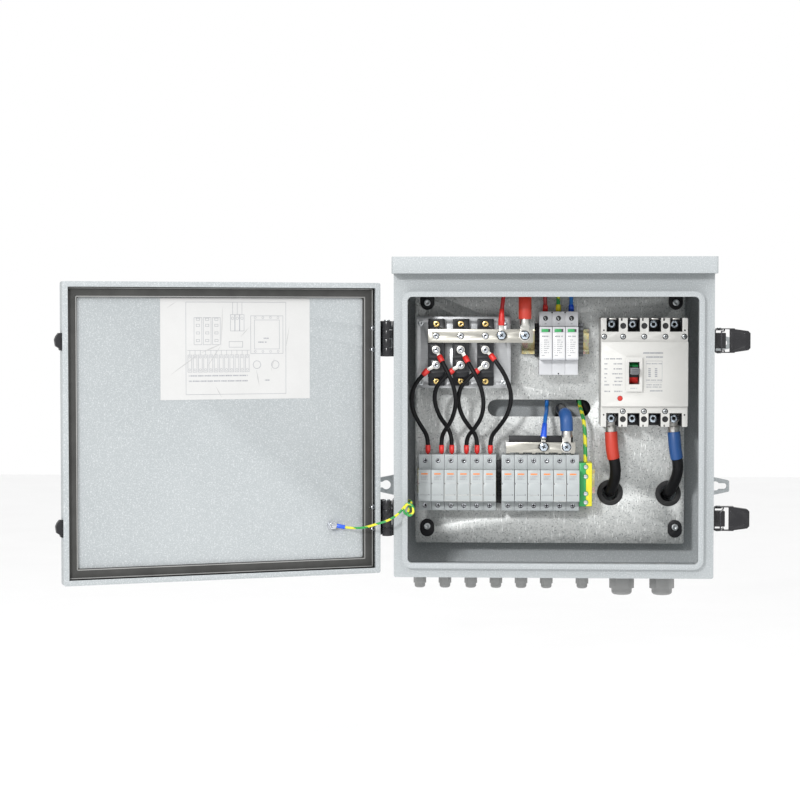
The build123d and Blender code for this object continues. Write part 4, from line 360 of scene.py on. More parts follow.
class Piece:
    """One visible piece: bevelled blocks, turned parts and prisms in a single mesh."""

    def __init__(self, name, body, slot, *nodes):
        self.name, self.body, self.slot, self.nodes = name, body, slot, nodes
        self.bm = bmesh.new()
        self.used = []

    def index(self, material):
        if material not in self.used:
            self.used.append(material)
        return self.used.index(material)

    def take(self, bm, material):
        for face in bm.faces:
            face.material_index = self.index(material)
        mesh = bpy.data.meshes.new("part")
        bm.to_mesh(mesh)
        bm.free()
        self.bm.from_mesh(mesh)
        bpy.data.meshes.remove(mesh)

    def block(self, x, height, z, material, bevel=0.3, segments=2):
        """A block between two x, two heights and two z."""
        bm = bmesh.new()
        bmesh.ops.create_cube(bm, size=1)
        low, high = Vector((x[0], -height[1], z[0])), Vector((x[1], -height[0], z[1]))
        middle, size = (low + high) / 2, high - low
        for vert in bm.verts:
            vert.co = Vector((middle[i] + vert.co[i] * size[i] for i in range(3))) * MM
        self.soften(bm, bevel, segments)
        self.take(bm, material)

    def soften(self, bm, bevel, segments=2, angle=40):
        if bevel:
            sharp = [e for e in bm.edges if e.is_manifold and e.calc_face_angle(0) > math.radians(angle)]
            bmesh.ops.bevel(bm, geom=sharp, offset=bevel * MM, segments=segments, profile=0.5,
                            affect="EDGES", clamp_overlap=True)

    def lathe(self, centre, direction, profile, material, sides=32):
        """Turn (radius, distance along the axis) pairs about an axis through the centre."""
        bm = bmesh.new()
        basis = axes(direction)
        rings = []
        for radius, along in profile:
            if radius <= 0:
                rings.append([bm.verts.new(centre + basis @ Vector((0, 0, along)) * MM)])
                continue
            ring = []
            for i in range(sides):
                a = 2 * math.pi * i / sides
                point = Vector((radius * math.cos(a), radius * math.sin(a), along))
                ring.append(bm.verts.new(centre + basis @ point * MM))
            rings.append(ring)
        for one, two in zip(rings, rings[1:]):
            count = max(len(one), len(two))
            for i in range(count):
                j = (i + 1) % count
                corners = [one[i % len(one)], one[j % len(one)], two[j % len(two)], two[i % len(two)]]
                unique = list(dict.fromkeys(corners))
                if len(unique) > 2:
                    bm.faces.new(unique)
        for ring, flip in ((rings[0], True), (rings[-1], False)):
            if len(ring) > 2:
                bm.faces.new(ring[::-1] if flip else ring)
        self.take(bm, material)

    def disc(self, centre, direction, radius, length, material, bevel=0.2, sides=32, hole=0):
        """A round boss, or a ring when it has a hole."""
        b = min(bevel, length / 3)
        outer = [(radius - b, 0), (radius, b), (radius, length - b), (radius - b * 0.3, length - b * 0.3),
                 (radius - b, length)]
        if not hole:
            self.lathe(centre, direction, [(0, 0), *outer, (0, length)], material, sides)
            return
        bm = bmesh.new()
        basis = axes(direction)
        profile = [(hole, 0), *outer, (hole, length)]
        rings = []
        for r, along in profile:
            rings.append([
                bm.verts.new(centre + basis @ Vector((r * math.cos(a), r * math.sin(a), along)) * MM)
                for a in (2 * math.pi * i / sides for i in range(sides))
            ])
        for one, two in zip(rings, rings[1:] + rings[:1]):
            for i in range(sides):
                j = (i + 1) % sides
                bm.faces.new((one[i], one[j], two[j], two[i]))
        self.take(bm, material)

    def prism(self, centre, direction, along, outline, depth, material, bevel=0.2):
        """An outline of (u, v) points pushed along the direction."""
        bm = bmesh.new()
        basis = axes(direction, along)
        low = [bm.verts.new(centre + basis @ Vector((u, v, 0)) * MM) for u, v in outline]
        high = [bm.verts.new(centre + basis @ Vector((u, v, depth)) * MM) for u, v in outline]
        bm.faces.new(low[::-1])
        bm.faces.new(high)
        count = len(outline)
        for i in range(count):
            j = (i + 1) % count
            bm.faces.new((low[i], low[j], high[j], high[i]))
        bmesh.ops.recalc_face_normals(bm, faces=bm.faces)
        self.soften(bm, bevel)
        self.take(bm, material)

    def cad(self, node, material, bevel=0.4):
        """The node's solids with softened edges. `material` may be a rule from a box to a finish."""
        bm = bmesh.new()
        bm.from_mesh(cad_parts[node].data)
        bmesh.ops.remove_doubles(bm, verts=bm.verts, dist=1e-6)
        bmesh.ops.dissolve_limit(bm, angle_limit=math.radians(1.0), verts=bm.verts, edges=bm.edges)
        for faces, low, high in islands(bm):
            index = self.index(material(low, high) if callable(material) else material)
            for face in faces:
                face.material_index = index
        self.soften(bm, bevel, 2, 30)
        mesh = bpy.data.meshes.new("part")
        bm.to_mesh(mesh)
        bm.free()
        self.bm.from_mesh(mesh)
        bpy.data.meshes.remove(mesh)

    def build(self, place=None, angle=32):
        if place:
            self.bm.transform(place)
        bmesh.ops.dissolve_degenerate(self.bm, dist=1e-7, edges=self.bm.edges)
        mesh = bpy.data.meshes.new(self.name)
        self.bm.to_mesh(mesh)
        self.bm.free()
        for material in self.used:
            mesh.materials.append(M[material])
        mesh.shade_smooth()
        mesh.set_sharp_from_angle(angle=math.radians(angle))
        obj = bpy.data.objects.new(self.name, mesh)
        bpy.context.scene.collection.objects.link(obj)
        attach(obj, self.body)
        if self.nodes:
            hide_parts(*self.nodes)
        return obj


def islands(bm):
    """Connected groups of faces, in mesh order, with their lowest and highest corners in millimetres."""
    left = set(bm.faces)
    for seed in bm.faces[:]:
        if seed not in left:
            continue
        left.discard(seed)
        group, queue = [seed], [seed]
        while queue:
            face = queue.pop()
            for edge in face.edges:
                for other in edge.link_faces:
                    if other in left:
                        left.discard(other)
                        group.append(other)
                        queue.append(other)
        points = [v.co / MM for f in group for v in f.verts]
        low = Vector([min(p[i] for p in points) for i in range(3)])
        high = Vector([max(p[i] for p in points) for i in range(3)])
        yield group, low, high


def words(piece, x, height, z, tall, material, seed=0, gap=1.0):
    """A row of short generic dashes that stands in for small print."""
    place, step = x[0], seed
    while place < x[1]:
        wide = 0.9 + (step * 7 % 5) * 0.45
        piece.block((place, min(place + wide, x[1])), (height, height + PRINT), (z, z + tall), material, 0)
        place += wide + 0.35 * gap + (step * 3 % 4 == 0) * 0.9 * gap
        step += 1


def crosses(piece, node, chosen, arm=0.62, rim=0.5):
    """A driver cross in near black on each chosen screw head, painted shade for its recess, and a painted
    shadow ring round it.
    """
    bm = bmesh.new()
    bm.from_mesh(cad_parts[node].data)
    bmesh.ops.remove_doubles(bm, verts=bm.verts, dist=1e-6)
    for _, low, high in islands(bm):
        if not chosen(low, high):
            continue
        x, z, top, r = (low.x + high.x) / 2, (low.z + high.z) / 2, -low.y, (high.x - low.x) / 2
        turn = math.radians(25 + round(x * 7 + z * 13) % 60)
        # painted shade: two near-black bars stand for the shade in the cross recess
        for a in (turn, turn + math.pi / 2):
            u, v = r * arm, max(0.32, r * 0.13)
            outline = [(-u, -v), (u, -v), (u, v), (-u, v)]
            along = (math.cos(a), 0, math.sin(a))
            piece.prism(at(x, top - 0.3, z), OUT, along, outline, 0.36, "hole", 0)
        # painted shadow: a near-black ring round the head
        piece.lathe(at(x, top - 1.4, z), OUT, [(r, 0), (r + rim, 0), (r + rim, 0.5), (r, 0.5)], "hole", 28)
    bm.free()


def opened():
    """Turn closed-door coordinates to the open door."""
    pivot = Matrix.Translation(at(*HINGE, 0))
    return pivot @ Matrix.Rotation(math.radians(-DOOR_OPEN), 4, "Z") @ pivot.inverted()


# ------------------------------------------------------------------ cabinet and fixings

for node, material, bevel, slot in (
    ("box_body", "paint", 0.7, "enclosure_paint"),
    ("rain_hood", "paint", 0.7, "enclosure_paint"),
    ("mounting_ears", "paint", 0.5, "enclosure_paint"),
    ("plate_standoffs", "zinc", 0.3, "zinc_steel"),
    ("mounting_plate", "galvanised", 0.3, "galvanised_plate"),
    ("plate_clamps", "black", 0.4, "black_plastic"),
    ("plate_screws", "zinc", 0.25, "zinc_steel"),
    ("cable_grommets", "rubber", 0.3, "black_rubber"),
    ("hinge_body_leaves", "black_gloss", 0.35, "black_paint"),
    ("pivot_pins", "zinc", 0.2, "zinc_steel"),
    ("side_screws", "zinc", 0.2, "zinc_steel"),
    ("latch_bases", "black_gloss", 0.3, "black_paint"),
    ("heat_sink", "alu", 0.25, "sink_aluminium"),
    ("diode_modules", "module", 0.5, "black_plastic"),
    ("positive_busbar", "tin", 0.3, "tinned_copper"),
    ("negative_busbar", "tin", 0.25, "tinned_copper"),
    ("busbar_insulator", "black", 0.5, "black_plastic"),
    ("din_rails", "chromate", 0.15, "yellow_chromate"),
):
    piece = Piece(f"{node}_look", "enclosure", slot, node)
    piece.cad(node, material, bevel)
    piece.build()

piece = Piece("end_stops_look", "enclosure", "black_plastic", "rail_end_stops")
piece.cad("rail_end_stops", lambda low, high: "handle" if low.x > 30 else "black", 0.3)
piece.build()

piece = Piece("terminal_screws_look", "enclosure", "zinc_steel", "terminal_screws")


def screw_finish(low, high):
    """The end screws of the diode modules are brass and all others bright."""
    middle = (low.z + high.z) / 2
    return "brass" if high.x < -70 and min(abs(middle - 129), abs(middle - 49.5)) < 2 else "bright"


piece.cad("terminal_screws", screw_finish, 0.2)
crosses(piece, "terminal_screws", lambda low, high: high.x < -60 and low.z > 30)
crosses(piece, "terminal_screws", lambda low, high: high.z < -40, 0.62, 0.1)
piece.build()

piece = Piece("terminal_bolts_look", "enclosure", "zinc_steel", "terminal_bolts")
piece.cad("terminal_bolts", lambda low, high: "module" if high.x - low.x > 15 else "blued", 0.25)
crosses(piece, "terminal_bolts", lambda low, high: 6 < high.x - low.x < 15, 0.5)
piece.build()

piece = Piece("earth_terminals_look", "enclosure", "earth_green", "earth_terminals")


def earth_finish(low, high):
    if high.z - low.z < 20:
        return "bright"
    return "green" if high.x < 48 else "yellow"


piece.cad("earth_terminals", earth_finish, 0.4)
piece.build()

piece = Piece("glands_look", "enclosure", "gland_grey", "cable_glands")
piece.cad("cable_glands", "gland", 0.4)
piece.build()

# ------------------------------------------------------------------ rail devices

piece = Piece("fuse_bases_look", "enclosure", "device_grey", "fuse_bases")
piece.cad("fuse_bases", "device", 0.35)
piece.build()

for number, x in enumerate(FUSE_X, start=1):
    node = f"fuse_carrier_{number:02d}"
    piece = Piece(f"{node}_look", f"carrier_{number:02d}", "device_grey", node)
    piece.cad(node, lambda low, high: "glass" if high.x - low.x < 12 else "device", 0.35)
    words(piece, (x - 4.7, x + 4.6), CARRIER_FACE, -79.4, 1.9, "orange", 1, 0.25)
    for i in range(3):
        z = -82.3 - i * 2.0
        words(piece, (x - 4.9, x + 4.9 - (i % 2) * 2.2), CARRIER_FACE, z, 0.9, "ink_grey", i)
    piece.block((x - 8.5, x + 8.5), (CARRIER_FACE, CARRIER_FACE + 0.1), (-90.9, -90.3), "device_dark", 0)
    piece.block((x - 8.4, x - 7.2), (105.9, 106.05), (-92.6, -91.2), "ink", 0.02)
    piece.block((x - 6.6, x + 5.4), (106, 106.05), (-107.6, -107.1), "device_dark", 0)
    piece.block((x + 5.6, x + 6.6), (106, 106.06), (-107.9, -106.7), "ink", 0.02)
    piece.block((x + 6.4, x + 6.7), (106, 106.04), (-106.9, -92.2), "device_dark", 0)
    piece.build()

piece = Piece("fuse_details_look", "enclosure", "device_grey", "fuse_bases")
for x in FUSE_X:
    for z in (-61.5, -124.2):
        piece.disc(at(x, 81.7, z), OUT, 3.9, 0.4, "device_dark", 0.05, 28, 3.3)
        # painted shade: a near-black lining down each screw well
        piece.disc(at(x, 74.6, z), OUT, 3.36, 7.2, "hole", 0.02, 28, 3.1)
    piece.block((x - 8.8, x - 8.4), (BASE_FACE, BASE_FACE + 0.06), (-130.8, -117.6), "device_dark", 0)
    piece.block((x - 8.8, x - 8.4), (BASE_FACE, BASE_FACE + 0.06), (-72.5, -53.4), "device_dark", 0)
    piece.block((x + 1.2, x + 2.6), (BASE_FACE, BASE_FACE + PRINT), (-57.6, -56.8), "ink_grey", 0)
    piece.block((x - 2, x + 2.4), (BASE_FACE - 0.1, BASE_FACE + 0.06), (-54.6, -53.6), "device_dark", 0)
piece.build()

piece = Piece("spd_base_look", "enclosure", "device_grey", "spd_base")
for x in SPD_X:
    left, right = x - 8.95, x + 8.95
    piece.block((left, right), (43, SPD_FACE), (126, 146.4), "spd", 0.5)
    piece.block((left, right), (43, SPD_FACE), (58.5, 79.4), "spd", 0.5)
    piece.block((left, right), (49, 62), (79, 126.4), "spd", 0.2)
    piece.lathe(at(x, SPD_FACE, 137), OUT, [(3.5, -0.2), (3.5, 0.06), (2.6, 0.06), (2.6, -0.2)], "black", 28)
    # painted shade: a near-black disc fills the hole inside the ring
    piece.lathe(at(x, SPD_FACE, 137), OUT, [(0, 0.03), (2.7, 0.03), (2.7, -0.3), (0, -0.3)], "hole", 28)
    piece.block((x - 0.5, x + 0.5), (SPD_FACE - 0.1, SPD_FACE + 0.12), (134.9, 136.6), "zinc", 0.05)
    piece.block((x - 1.6, x - 0.2), (SPD_FACE - 0.1, SPD_FACE + 0.12), (137.2, 138.2), "zinc", 0.05)
    piece.block((x - 1.2, x + 1.4), (SPD_FACE, SPD_FACE + PRINT), (128.8, 130.2), "ink_grey", 0)
for x in SPD_X[1:]:
    piece.lathe(at(x, SPD_FACE, 68), OUT, [(4.4, -0.2), (4.4, 0.25), (3.9, 0.25), (3.9, -0.2)], "spd", 32)
# painted shade: small near-black discs for holes
for x in (SPD_X[0] + MODULE_W / 2, SPD_X[1] + MODULE_W / 2):
    piece.disc(at(x, SPD_FACE, 144.9), OUT, 1.1, 0.1, "hole", 0.02, 16)
piece.disc(at(SPD_X[1], SPD_FACE, 60.2), OUT, 1.1, 0.1, "hole", 0.02, 16)
piece.build()
for number, x in enumerate(SPD_X, start=1):
    node = f"spd_cartridge_{number}"
    piece = Piece(f"{node}_look", f"cartridge_{number}", "device_grey", node)
    piece.cad(node, "spd", 0.35)
    piece.block((x - 6, x + 3.4), (109.1, 109.9), (118.2, 122.2), "green", 0.1)
    piece.block((x + 3.4, x + 6), (109.1, 109.8), (118.2, 122.2), "ink", 0.1)
    piece.block((x - 7.6, x + 7.6), (CARTRIDGE_FACE, CARTRIDGE_FACE + 0.12), (82.6, 116.6), "label", 0.03)
    words(piece, (x - 5.6, x + 5), 110.1, 111.2, 1.9, "ink_grey", number)
    for i, wide in enumerate((3.2, 5.4, 4.8, 5.2, 4.6, 2.0, 4.4)):
        z = 107.4 - i * 2.9
        piece.block((x - 6.2, x - 5.0), (110.1, 110.18), (z - 0.7, z + 0.1), "ink_grey", 0)
        words(piece, (x - 2.6, x - 2.6 + wide + 2.4), 110.1, z - 0.8, 1.0, "ink_grey", i + number)
    words(piece, (x - 5.6, x - 0.5), 110.1, 85.4, 1.1, "ink_grey", 3)
    piece.build()

# ------------------------------------------------------------------ breaker

piece = Piece("breaker_base_look", "enclosure", "breaker_white", "breaker_base")
piece.cad("breaker_base", "white", 0.5)
piece.build()
piece = Piece("breaker_cover_look", "enclosure", "breaker_white", "breaker_cover")
piece.cad("breaker_cover", "white", 0.5)
for x in POLE_X:
    # painted shade: near-black walls and floors line the pole openings, and a near-black block sits behind
    # each top terminal
    for low, high, inner in ((118.7, 137.3, 118.7), (-12.3, 6.3, 5.5)):
        for side in (-1, 1):
            wall = sorted((x + side * 8.45, x + side * 7.7))
            piece.block(wall, (68.2, COVER_LOW), (low, high), "hole", 0.1)
        piece.block((x - 8.4, x + 8.4), (68.2, COVER_LOW), (inner, inner + 0.8), "hole", 0.1)
    piece.block((x - 4.8, x + 4.8), (100.5, 104.1), (135.4, 137.3), "tin_soft", 0.4)
    piece.block((x - 8.3, x + 8.3), (96, 102.6), (134.6, 137.4), "hole", 0.3)
# painted shade: near-black countersinks, slots, holes, screw wells and driver crosses
for x in BETWEEN_X:
    for z in (126.6, -2):
        sunk = [(0, 0), (4.15, 0), (4.15, 0.3), (3.5, 0.1), (0, 0.1)]
        piece.lathe(at(x, COVER_LOW, z), OUT, sunk, "hole", 32)
    piece.block((x - 3.4, x - 1.0), (103.8, 104.08), (133.6, 137.3), "hole", 0.1)
    piece.block((x - 2.2, x - 0.4), (103.8, 104.08), (-12.3, -9.6), "hole", 0.1)
for x in (71, 182):
    for z in (120.6, 4):
        piece.disc(at(x, 103.95, z), OUT, 1.2, 0.12, "hole", 0.02, 16)
for x, z in [(x, 111.8) for x in (71.5, *BETWEEN_X, 181.5)] + [(x, 8.8) for x in BETWEEN_X]:
    piece.lathe(at(x, 103.3, z), OUT, [(3.95, 0), (3.95, 0.6), (3.1, 0.3), (3.1, 0)], "hole", 32)
    piece.disc(at(x, 103.4, z), OUT, 2.9, 0.6, "zinc", 0.2, 28)
    piece.block((x - 1.9, x + 1.9), (103.9, 104.06), (z - 0.4, z + 0.4), "hole", 0)
    piece.block((x - 0.4, x + 0.4), (103.9, 104.06), (z - 1.9, z + 1.9), "hole", 0)
for i, (left, right) in enumerate(((6, 17), (4, 12), (4, 12), (4, 14), (3, 9), (3, 11), (7, 13), (8, 11))):
    z = (80.5, 73.6, 66.7, 59.9, 54.4, 49.5, 44.7, 35.8)[i]
    words(piece, (71.5, 71.5 + left), COVER_FACE, z, 1.7, "ink_grey", i)
    words(piece, (96 - right, 96), COVER_FACE, z, 1.7, "ink_grey", i + 2)
words(piece, (124.5, 151.5), COVER_FACE, 88.4, 2.0, "ink_grey", 1, 0.3)
words(piece, (128.5, 151.5), COVER_FACE, 82.8, 2.0, "ink_grey", 4, 0.3)
for x in ((128.2, 128.6), (150.2, 150.6)):
    piece.block(x, (COVER_FACE, COVER_FACE + PRINT), (49.5, 78.5), "ink_grey", 0)
for z in ((78.2, 78.6), (49.3, 49.7)):
    piece.block((128.2, 150.6), (COVER_FACE, COVER_FACE + PRINT), z, "ink_grey", 0)
for x in (131.5, 140.5):
    for i in range(5):
        z = 56.5 + i * 2.6
        piece.block((x, x + 3.4), (COVER_FACE, COVER_FACE + PRINT), (z, z + 1.7), "ink_grey", 0)
for z in (74, 51.5, 45, 42):
    words(piece, (129, 150), COVER_FACE, z, 1.3, "ink_grey", int(z))
words(piece, (134, 151), COVER_FACE, 36.6, 1.6, "ink_grey", 2, 0.4)
words(piece, (106.5, 116), 118, 40.2, 1.6, "device_dark", 2, 0.8)
piece.build()

piece = Piece("breaker_handle_look", "handle", "handle_grey", "breaker_handle")
for material, low, high in (("green", 36, 88), ("hole", -23, 36), ("red", -88, -23)):
    arc = [math.radians(low + (high - low) * i / 8) for i in range(9)]
    outline = [(0, 0)] + [(15 * math.cos(a), -15 * math.sin(a)) for a in arc]
    piece.prism(at(112 - 6.1, 92, 61.6), (1, 0, 0), OUT, outline, 12.2, material, 0)
piece.block((106.3, 117.7), (100, 132), (60.1, 69.5), "handle", 1.1, 3)
for z in (62.4, 64.8, 67.2):
    piece.block((107.6, 116.4), (131.8, 132.0), (z - 0.35, z + 0.35), "device_dark", 0.05)
piece.build()
piece = Piece("trip_button_look", "trip", "button_red", "trip_button")
piece.cad("trip_button", "button", 0.2)
piece.build()

# ------------------------------------------------------------------ latches

for place in ("upper", "lower"):
    piece = Piece(f"latch_lever_{place}_look", f"lever_{place}", "black_paint", f"latch_lever_{place}")
    piece.cad(f"latch_lever_{place}", "black_gloss", 0.3)
    piece.build()
    piece = Piece(f"latch_bail_{place}_look", f"bail_{place}", "bright_wire", f"latch_bail_{place}")
    piece.cad(f"latch_bail_{place}", "wire_dark", 0)
    piece.build(angle=60)

# ------------------------------------------------------------------ door

PAGE = 196.12


def barrel_finish(low, high):
    """The earth lug's barrel wears a blue sleeve."""
    mid = (low + high) / 2
    return "blue" if -289 < mid.x < -281 and abs(mid.z + 143) < 3 else "bright"


def ring_of_strips(piece, half, low, high, wide, heights, material, bevel):
    """Four strips round a rectangle, each as wide as asked."""
    for x in ((-half, wide - half), (half - wide, half)):
        piece.block(x, heights, (low, high), material, bevel)
    for z in ((low, low + wide), (high - wide, high)):
        piece.block((-half, half), heights, z, material, bevel)


def drawn_box(piece, x, z):
    wide = 0.55
    for one in ((x[0], x[0] + wide), (x[1] - wide, x[1])):
        piece.block(one, (PAGE, PAGE + PRINT), z, "ink_grey", 0)
    for one in ((z[0], z[0] + wide), (z[1] - wide, z[1])):
        piece.block(x, (PAGE, PAGE + PRINT), one, "ink_grey", 0)


def drawn_ring(piece, x, z, r, material="ink_grey", wide=0.5):
    piece.disc(at(x, PAGE + PRINT, z), INWARD, r, PRINT, material, 0.02, 24, r - wide)


for node, material, bevel, slot in (
    ("door_panel", "paint", 0.6, "enclosure_paint"),
    ("door_gasket", "foam", 1.5, "gasket_foam"),
    ("hinge_door_leaves", "black_gloss", 0.35, "black_paint"),
    ("latch_keepers", "black", 0.3, "black_paint"),
    ("wiring_diagram", "paper", 0, "printed_paper"),
    ("door_fasteners", barrel_finish, 0.2, "zinc_steel"),
):
    piece = Piece(f"{node}_look", "door", slot, node)
    piece.cad(node, material, bevel)
    piece.build()

piece = Piece("gasket_highlights_and_shade_look", "door", "gasket_foam", "door_gasket")
# low ridges coloured light grey as painted highlight lines on the gasket
ring_of_strips(piece, 196.4, -188.4, 165.9, 1.3, (190.25, 190.6), "bead_highlight", 0.12)
ring_of_strips(piece, 207.2, -199.2, 176.7, 1.3, (190.25, 190.6), "bead_highlight", 0.12)
# painted shadow: a near-black strip in the channel between the gasket and the rim
ring_of_strips(piece, 211.4, -203.4, 180.9, 3.2, (196.2, 196.55), "hole", 0)
mitre = [(0, -0.25), (9, -0.25), (9, 0.25), (0, 0.25)]
for side in (-1, 1):
    for z, up in ((-206.6, 1), (184.1, -1)):
        piece.prism(at(side * 214.6, 181.02, z), INWARD, (-side, 0, up), mitre, 0.05, "device_dark", 0)
piece.build(opened())

piece = Piece("diagram_print_look", "door", "printed_paper", "wiring_diagram")
drawn_box(piece, (-87, 50), (36.5, 158.5))
for i in range(3):
    drawn_box(piece, (3 + i * 12.5, 14 + i * 12.5), (102, 138))
    for z in (106, 116, 126, 134):
        drawn_box(piece, (6 + i * 12.5, 11 + i * 12.5), (z, z + 3.4))
    drawn_box(piece, (-29.5 + i * 6.4, -23.1 + i * 6.4), (120, 142))
    drawn_ring(piece, -26.3 + i * 6.4, 137, 1.9)
    piece.block((-26.6 + i * 6.4, -26.1 + i * 6.4), (PAGE, PAGE + PRINT), (142, 158.5), "ink_grey", 0)
drawn_box(piece, (-83, -38), (90, 140.5))
drawn_box(piece, (-78, -43), (96, 135))
for i in range(4):
    for z in (93, 138):
        drawn_ring(piece, -76 + i * 10.5, z, 1.6)
drawn_box(piece, (-27.5, -8.5), (98.5, 106.5))
for i in range(12):
    x = 47.4 - i * 7.1
    drawn_box(piece, (x - 5.6, x), (66, 89))
    drawn_ring(piece, x - 2.8, 86, 1.6)
    drawn_ring(piece, x - 2.8, 69.4, 1.6)
    piece.block((x - 3.1, x - 2.6), (PAGE, PAGE + PRINT), (89, 95), "ink_grey", 0)
piece.block((-37, 48), (PAGE, PAGE + PRINT), (94.5, 95), "ink_grey", 0)
for x in (-46.8, -72):
    drawn_ring(piece, x, 75.5, 5.5, "ink_grey", 0.7)
PAGE_NOTES = [
    ((-34, 46), 53.5), ((-34, 46), 60.5), ((-63, -56), 109.6), ((-60, -48), 104.5), ((-64, -57), 54),
]
for x, z in PAGE_NOTES:
    words(piece, x, PAGE, z, 1.7, "ink_grey", int(z))
# painted shade: darker grey diamonds along the fold creases of the sheet
for (x, z), (dx, dz), wide in (
    ((72, 62), (-41, 29), 1.3), ((31, 91), (-31, 13), 1.6), ((0, 152), (2, -51), 1.2),
    ((22, 72), (-20, 30), 1.4), ((-46, 69), (-4, -22), 1.2), ((-24, 112), (-13, 14), 1.0),
    ((76, 150), (-14, 9), 0.9), ((-92, 128), (6, -34), 0.8), ((10, 48), (-9, -16), 1.1),
    ((-66, 66), (-5, 20), 1.0),
):
    reach = math.hypot(dx, dz)
    outline = [(0, -wide * 0.1), (reach * 0.5, -wide / 2), (reach, -wide * 0.1), (reach * 0.5, wide / 2)]
    piece.prism(at(x, PAGE + PRINT, z), INWARD, (dx, 0, dz), outline, 0.12, "crease_shade", 0)
piece.build(opened())

# ------------------------------------------------------------------ wires

STRING_D = 6
LEAD_D = 5.5
POWER_D = 15.5
EARTH_D = 4
STRINGS = {
    "a": [
        (-175.5, 113.5, 61.5), (-187, 111.5, 50), (-195.4, 105, 30), (-192.4, 94, 6), (-180.7, 82, -15),
        (-172.6, 70, -29), (-172.6, 70, -43.5),
    ],
    "b": [
        (-152.8, 114, 80), (-143.8, 121, 63), (-135.6, 119, 45), (-131.6, 109, 20), (-138.6, 96, -5),
        (-149.2, 83, -20), (-153.5, 70, -30), (-153.5, 70, -43.5),
    ],
    "c": [
        (-141, 113.5, 62), (-151.2, 112.5, 53), (-161.1, 106, 40), (-163.1, 96, 22), (-156.1, 84, 0),
        (-145, 73, -15), (-139.1, 70, -29), (-139.1, 70, -43.5),
    ],
    "d": [
        (-117.2, 114, 79), (-108.5, 121, 64), (-99.5, 119, 47), (-93.6, 110, 24), (-96.6, 97, 0),
        (-108.5, 84, -18), (-118.6, 70, -30), (-118.6, 70, -43.5),
    ],
    "e": [
        (-106.5, 113.5, 62), (-117.2, 112.5, 53), (-127.4, 105, 40), (-130.4, 96, 20), (-123.4, 84, -2),
        (-111.5, 73, -18), (-103.7, 70, -30), (-103.7, 70, -43.5),
    ],
    "f": [
        (-81, 114, 82), (-71.5, 118, 70), (-61.1, 114, 51), (-55.1, 107, 28), (-61.1, 96, 3),
        (-74.5, 83, -16), (-85.1, 70, -29), (-85.1, 70, -43.5),
    ],
}
POSITIVE = [
    (83, 74, -21), (84.2, 74, -46), (91.5, 67, -78), (84.5, 50, -107), (83.5, 18, -108.5), (80, 18, -66),
    (56, 18, 6), (4, 18, 82), (-34, 18, 142), (-37, 18, 198), (-37, 74, 198), (-37.7, 119.5, 165),
    (-37.7, 119.5, 136),
]
NEGATIVE = [
    (170, 74, -21), (172, 74, -46), (178.5, 68, -76), (166, 51, -107.5), (165, 18, -109.5), (150, 18, -146),
    (92, 18, -158), (36, 18, -122), (13, 18, -58), (14, 18, 10), (14, 62, 9), (20, 94.5, 2),
    (20.6, 95.5, -19),
]
RED_LEAD = [
    (-8.9, 70, 147), (-8.9, 70, 168), (-13, 82, 188), (-37, 101, 199), (-60, 110, 190), (-69, 116, 164),
    (-69.8, 116, 136),
]
BLUE_LEAD = [
    (27.1, 70, 147), (27.1, 70, 170), (27, 54, 194), (27, 28, 195), (27, 19, 168), (26, 18, 132),
    (18, 22, 104), (6, 32, 72), (-4, 33, 42), (-6, 30, 11), (-6, 56, 9), (-9, 84, -2), (-10.9, 92, -22),
]
EARTH_LEAD = [
    (9.1, 70, 147), (9.1, 70, 168), (9, 55, 192), (9, 30, 194), (10, 31, 164), (14, 32, 124), (24, 33, 80),
    (37, 33, 44), (41, 31, 12), (42, 54, 9), (46, 76, -10), (47.5, 70, -44), (47.5, 70, -64),
]
DOOR_LEAD = [
    (-279.5, 196, -144), (-267, 196, -145.5), (-252, 203.5, -143.5), (-236, 212.5, -138),
    (-219, 214.5, -132.5), (-204, 208, -127),
]
DOOR_TAIL = [(-191, 196, -112), (-190.5, 182, -110), (-195, 167, -110), (-203, 158, -112)]


def cord(name, route, diameter, length, material, body, nodes=()):
    """A wire as one smooth curve through its route."""
    curve = bpy.data.curves.new(name, "CURVE")
    curve.dimensions = "3D"
    spline = curve.splines.new("NURBS")
    spline.points.add(len(route) - 1)
    for point, place in zip(spline.points, route):
        point.co = (*at(*place), 1)
    spline.order_u = 3
    spline.use_endpoint_u = True
    spline.resolution_u = 10
    curve.bevel_depth = diameter / 2 * MM
    curve.bevel_resolution = 6
    curve.use_fill_caps = True
    curve.materials.append(M[material])
    obj = bpy.data.objects.new(name, curve)
    bpy.context.scene.collection.objects.link(obj)
    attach(obj, body)
    if nodes:
        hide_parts(*nodes)
    at(*route[0])
    return obj


STRING_LENGTHS = {"a": 125, "b": 148, "c": 128, "d": 149, "e": 130, "f": 151}
for key, route in STRINGS.items():
    cord(f"string_wire_{key}", route, STRING_D, STRING_LENGTHS[key], "cable", "enclosure",
         ["string_wires"])
cord("positive_cable", POSITIVE, POWER_D, 578, "cable", "enclosure", ["power_cables"])
cord("negative_cable", NEGATIVE, POWER_D, 498, "cable", "enclosure", ["power_cables"])
cord("red_lead", RED_LEAD, LEAD_D, 155, "red_wire", "enclosure", ["spd_leads"])
cord("blue_lead", BLUE_LEAD, LEAD_D, 335, "blue_wire", "enclosure", ["spd_leads"])
cord("earth_lead", EARTH_LEAD, LEAD_D, 352, "earth", "enclosure", ["spd_leads"])


def termination(low, high):
    """Sleeves on the cables are red or blue, the pin collars red, and the lugs bare tin."""
    mid = (low + high) / 2
    if high.z < -42 and high.x < -60:
        return "red"
    if mid.z < -25 and low.x > 60:
        return "red_shrink" if mid.x < 130 else "blue_shrink"
    if mid.z > 140 and mid.x > -60:
        return "red_shrink"
    if -14 < mid.z < 12 and mid.x < 60:
        return "blue_shrink"
    return "tin_soft"


def tube(piece, start, towards, profile, material):
    """A sleeve along a wire's first run; the profile is (radius, distance from the wire's end)."""
    origin = at(*start)
    piece.lathe(origin, at(*towards) - origin, profile, material, 28)


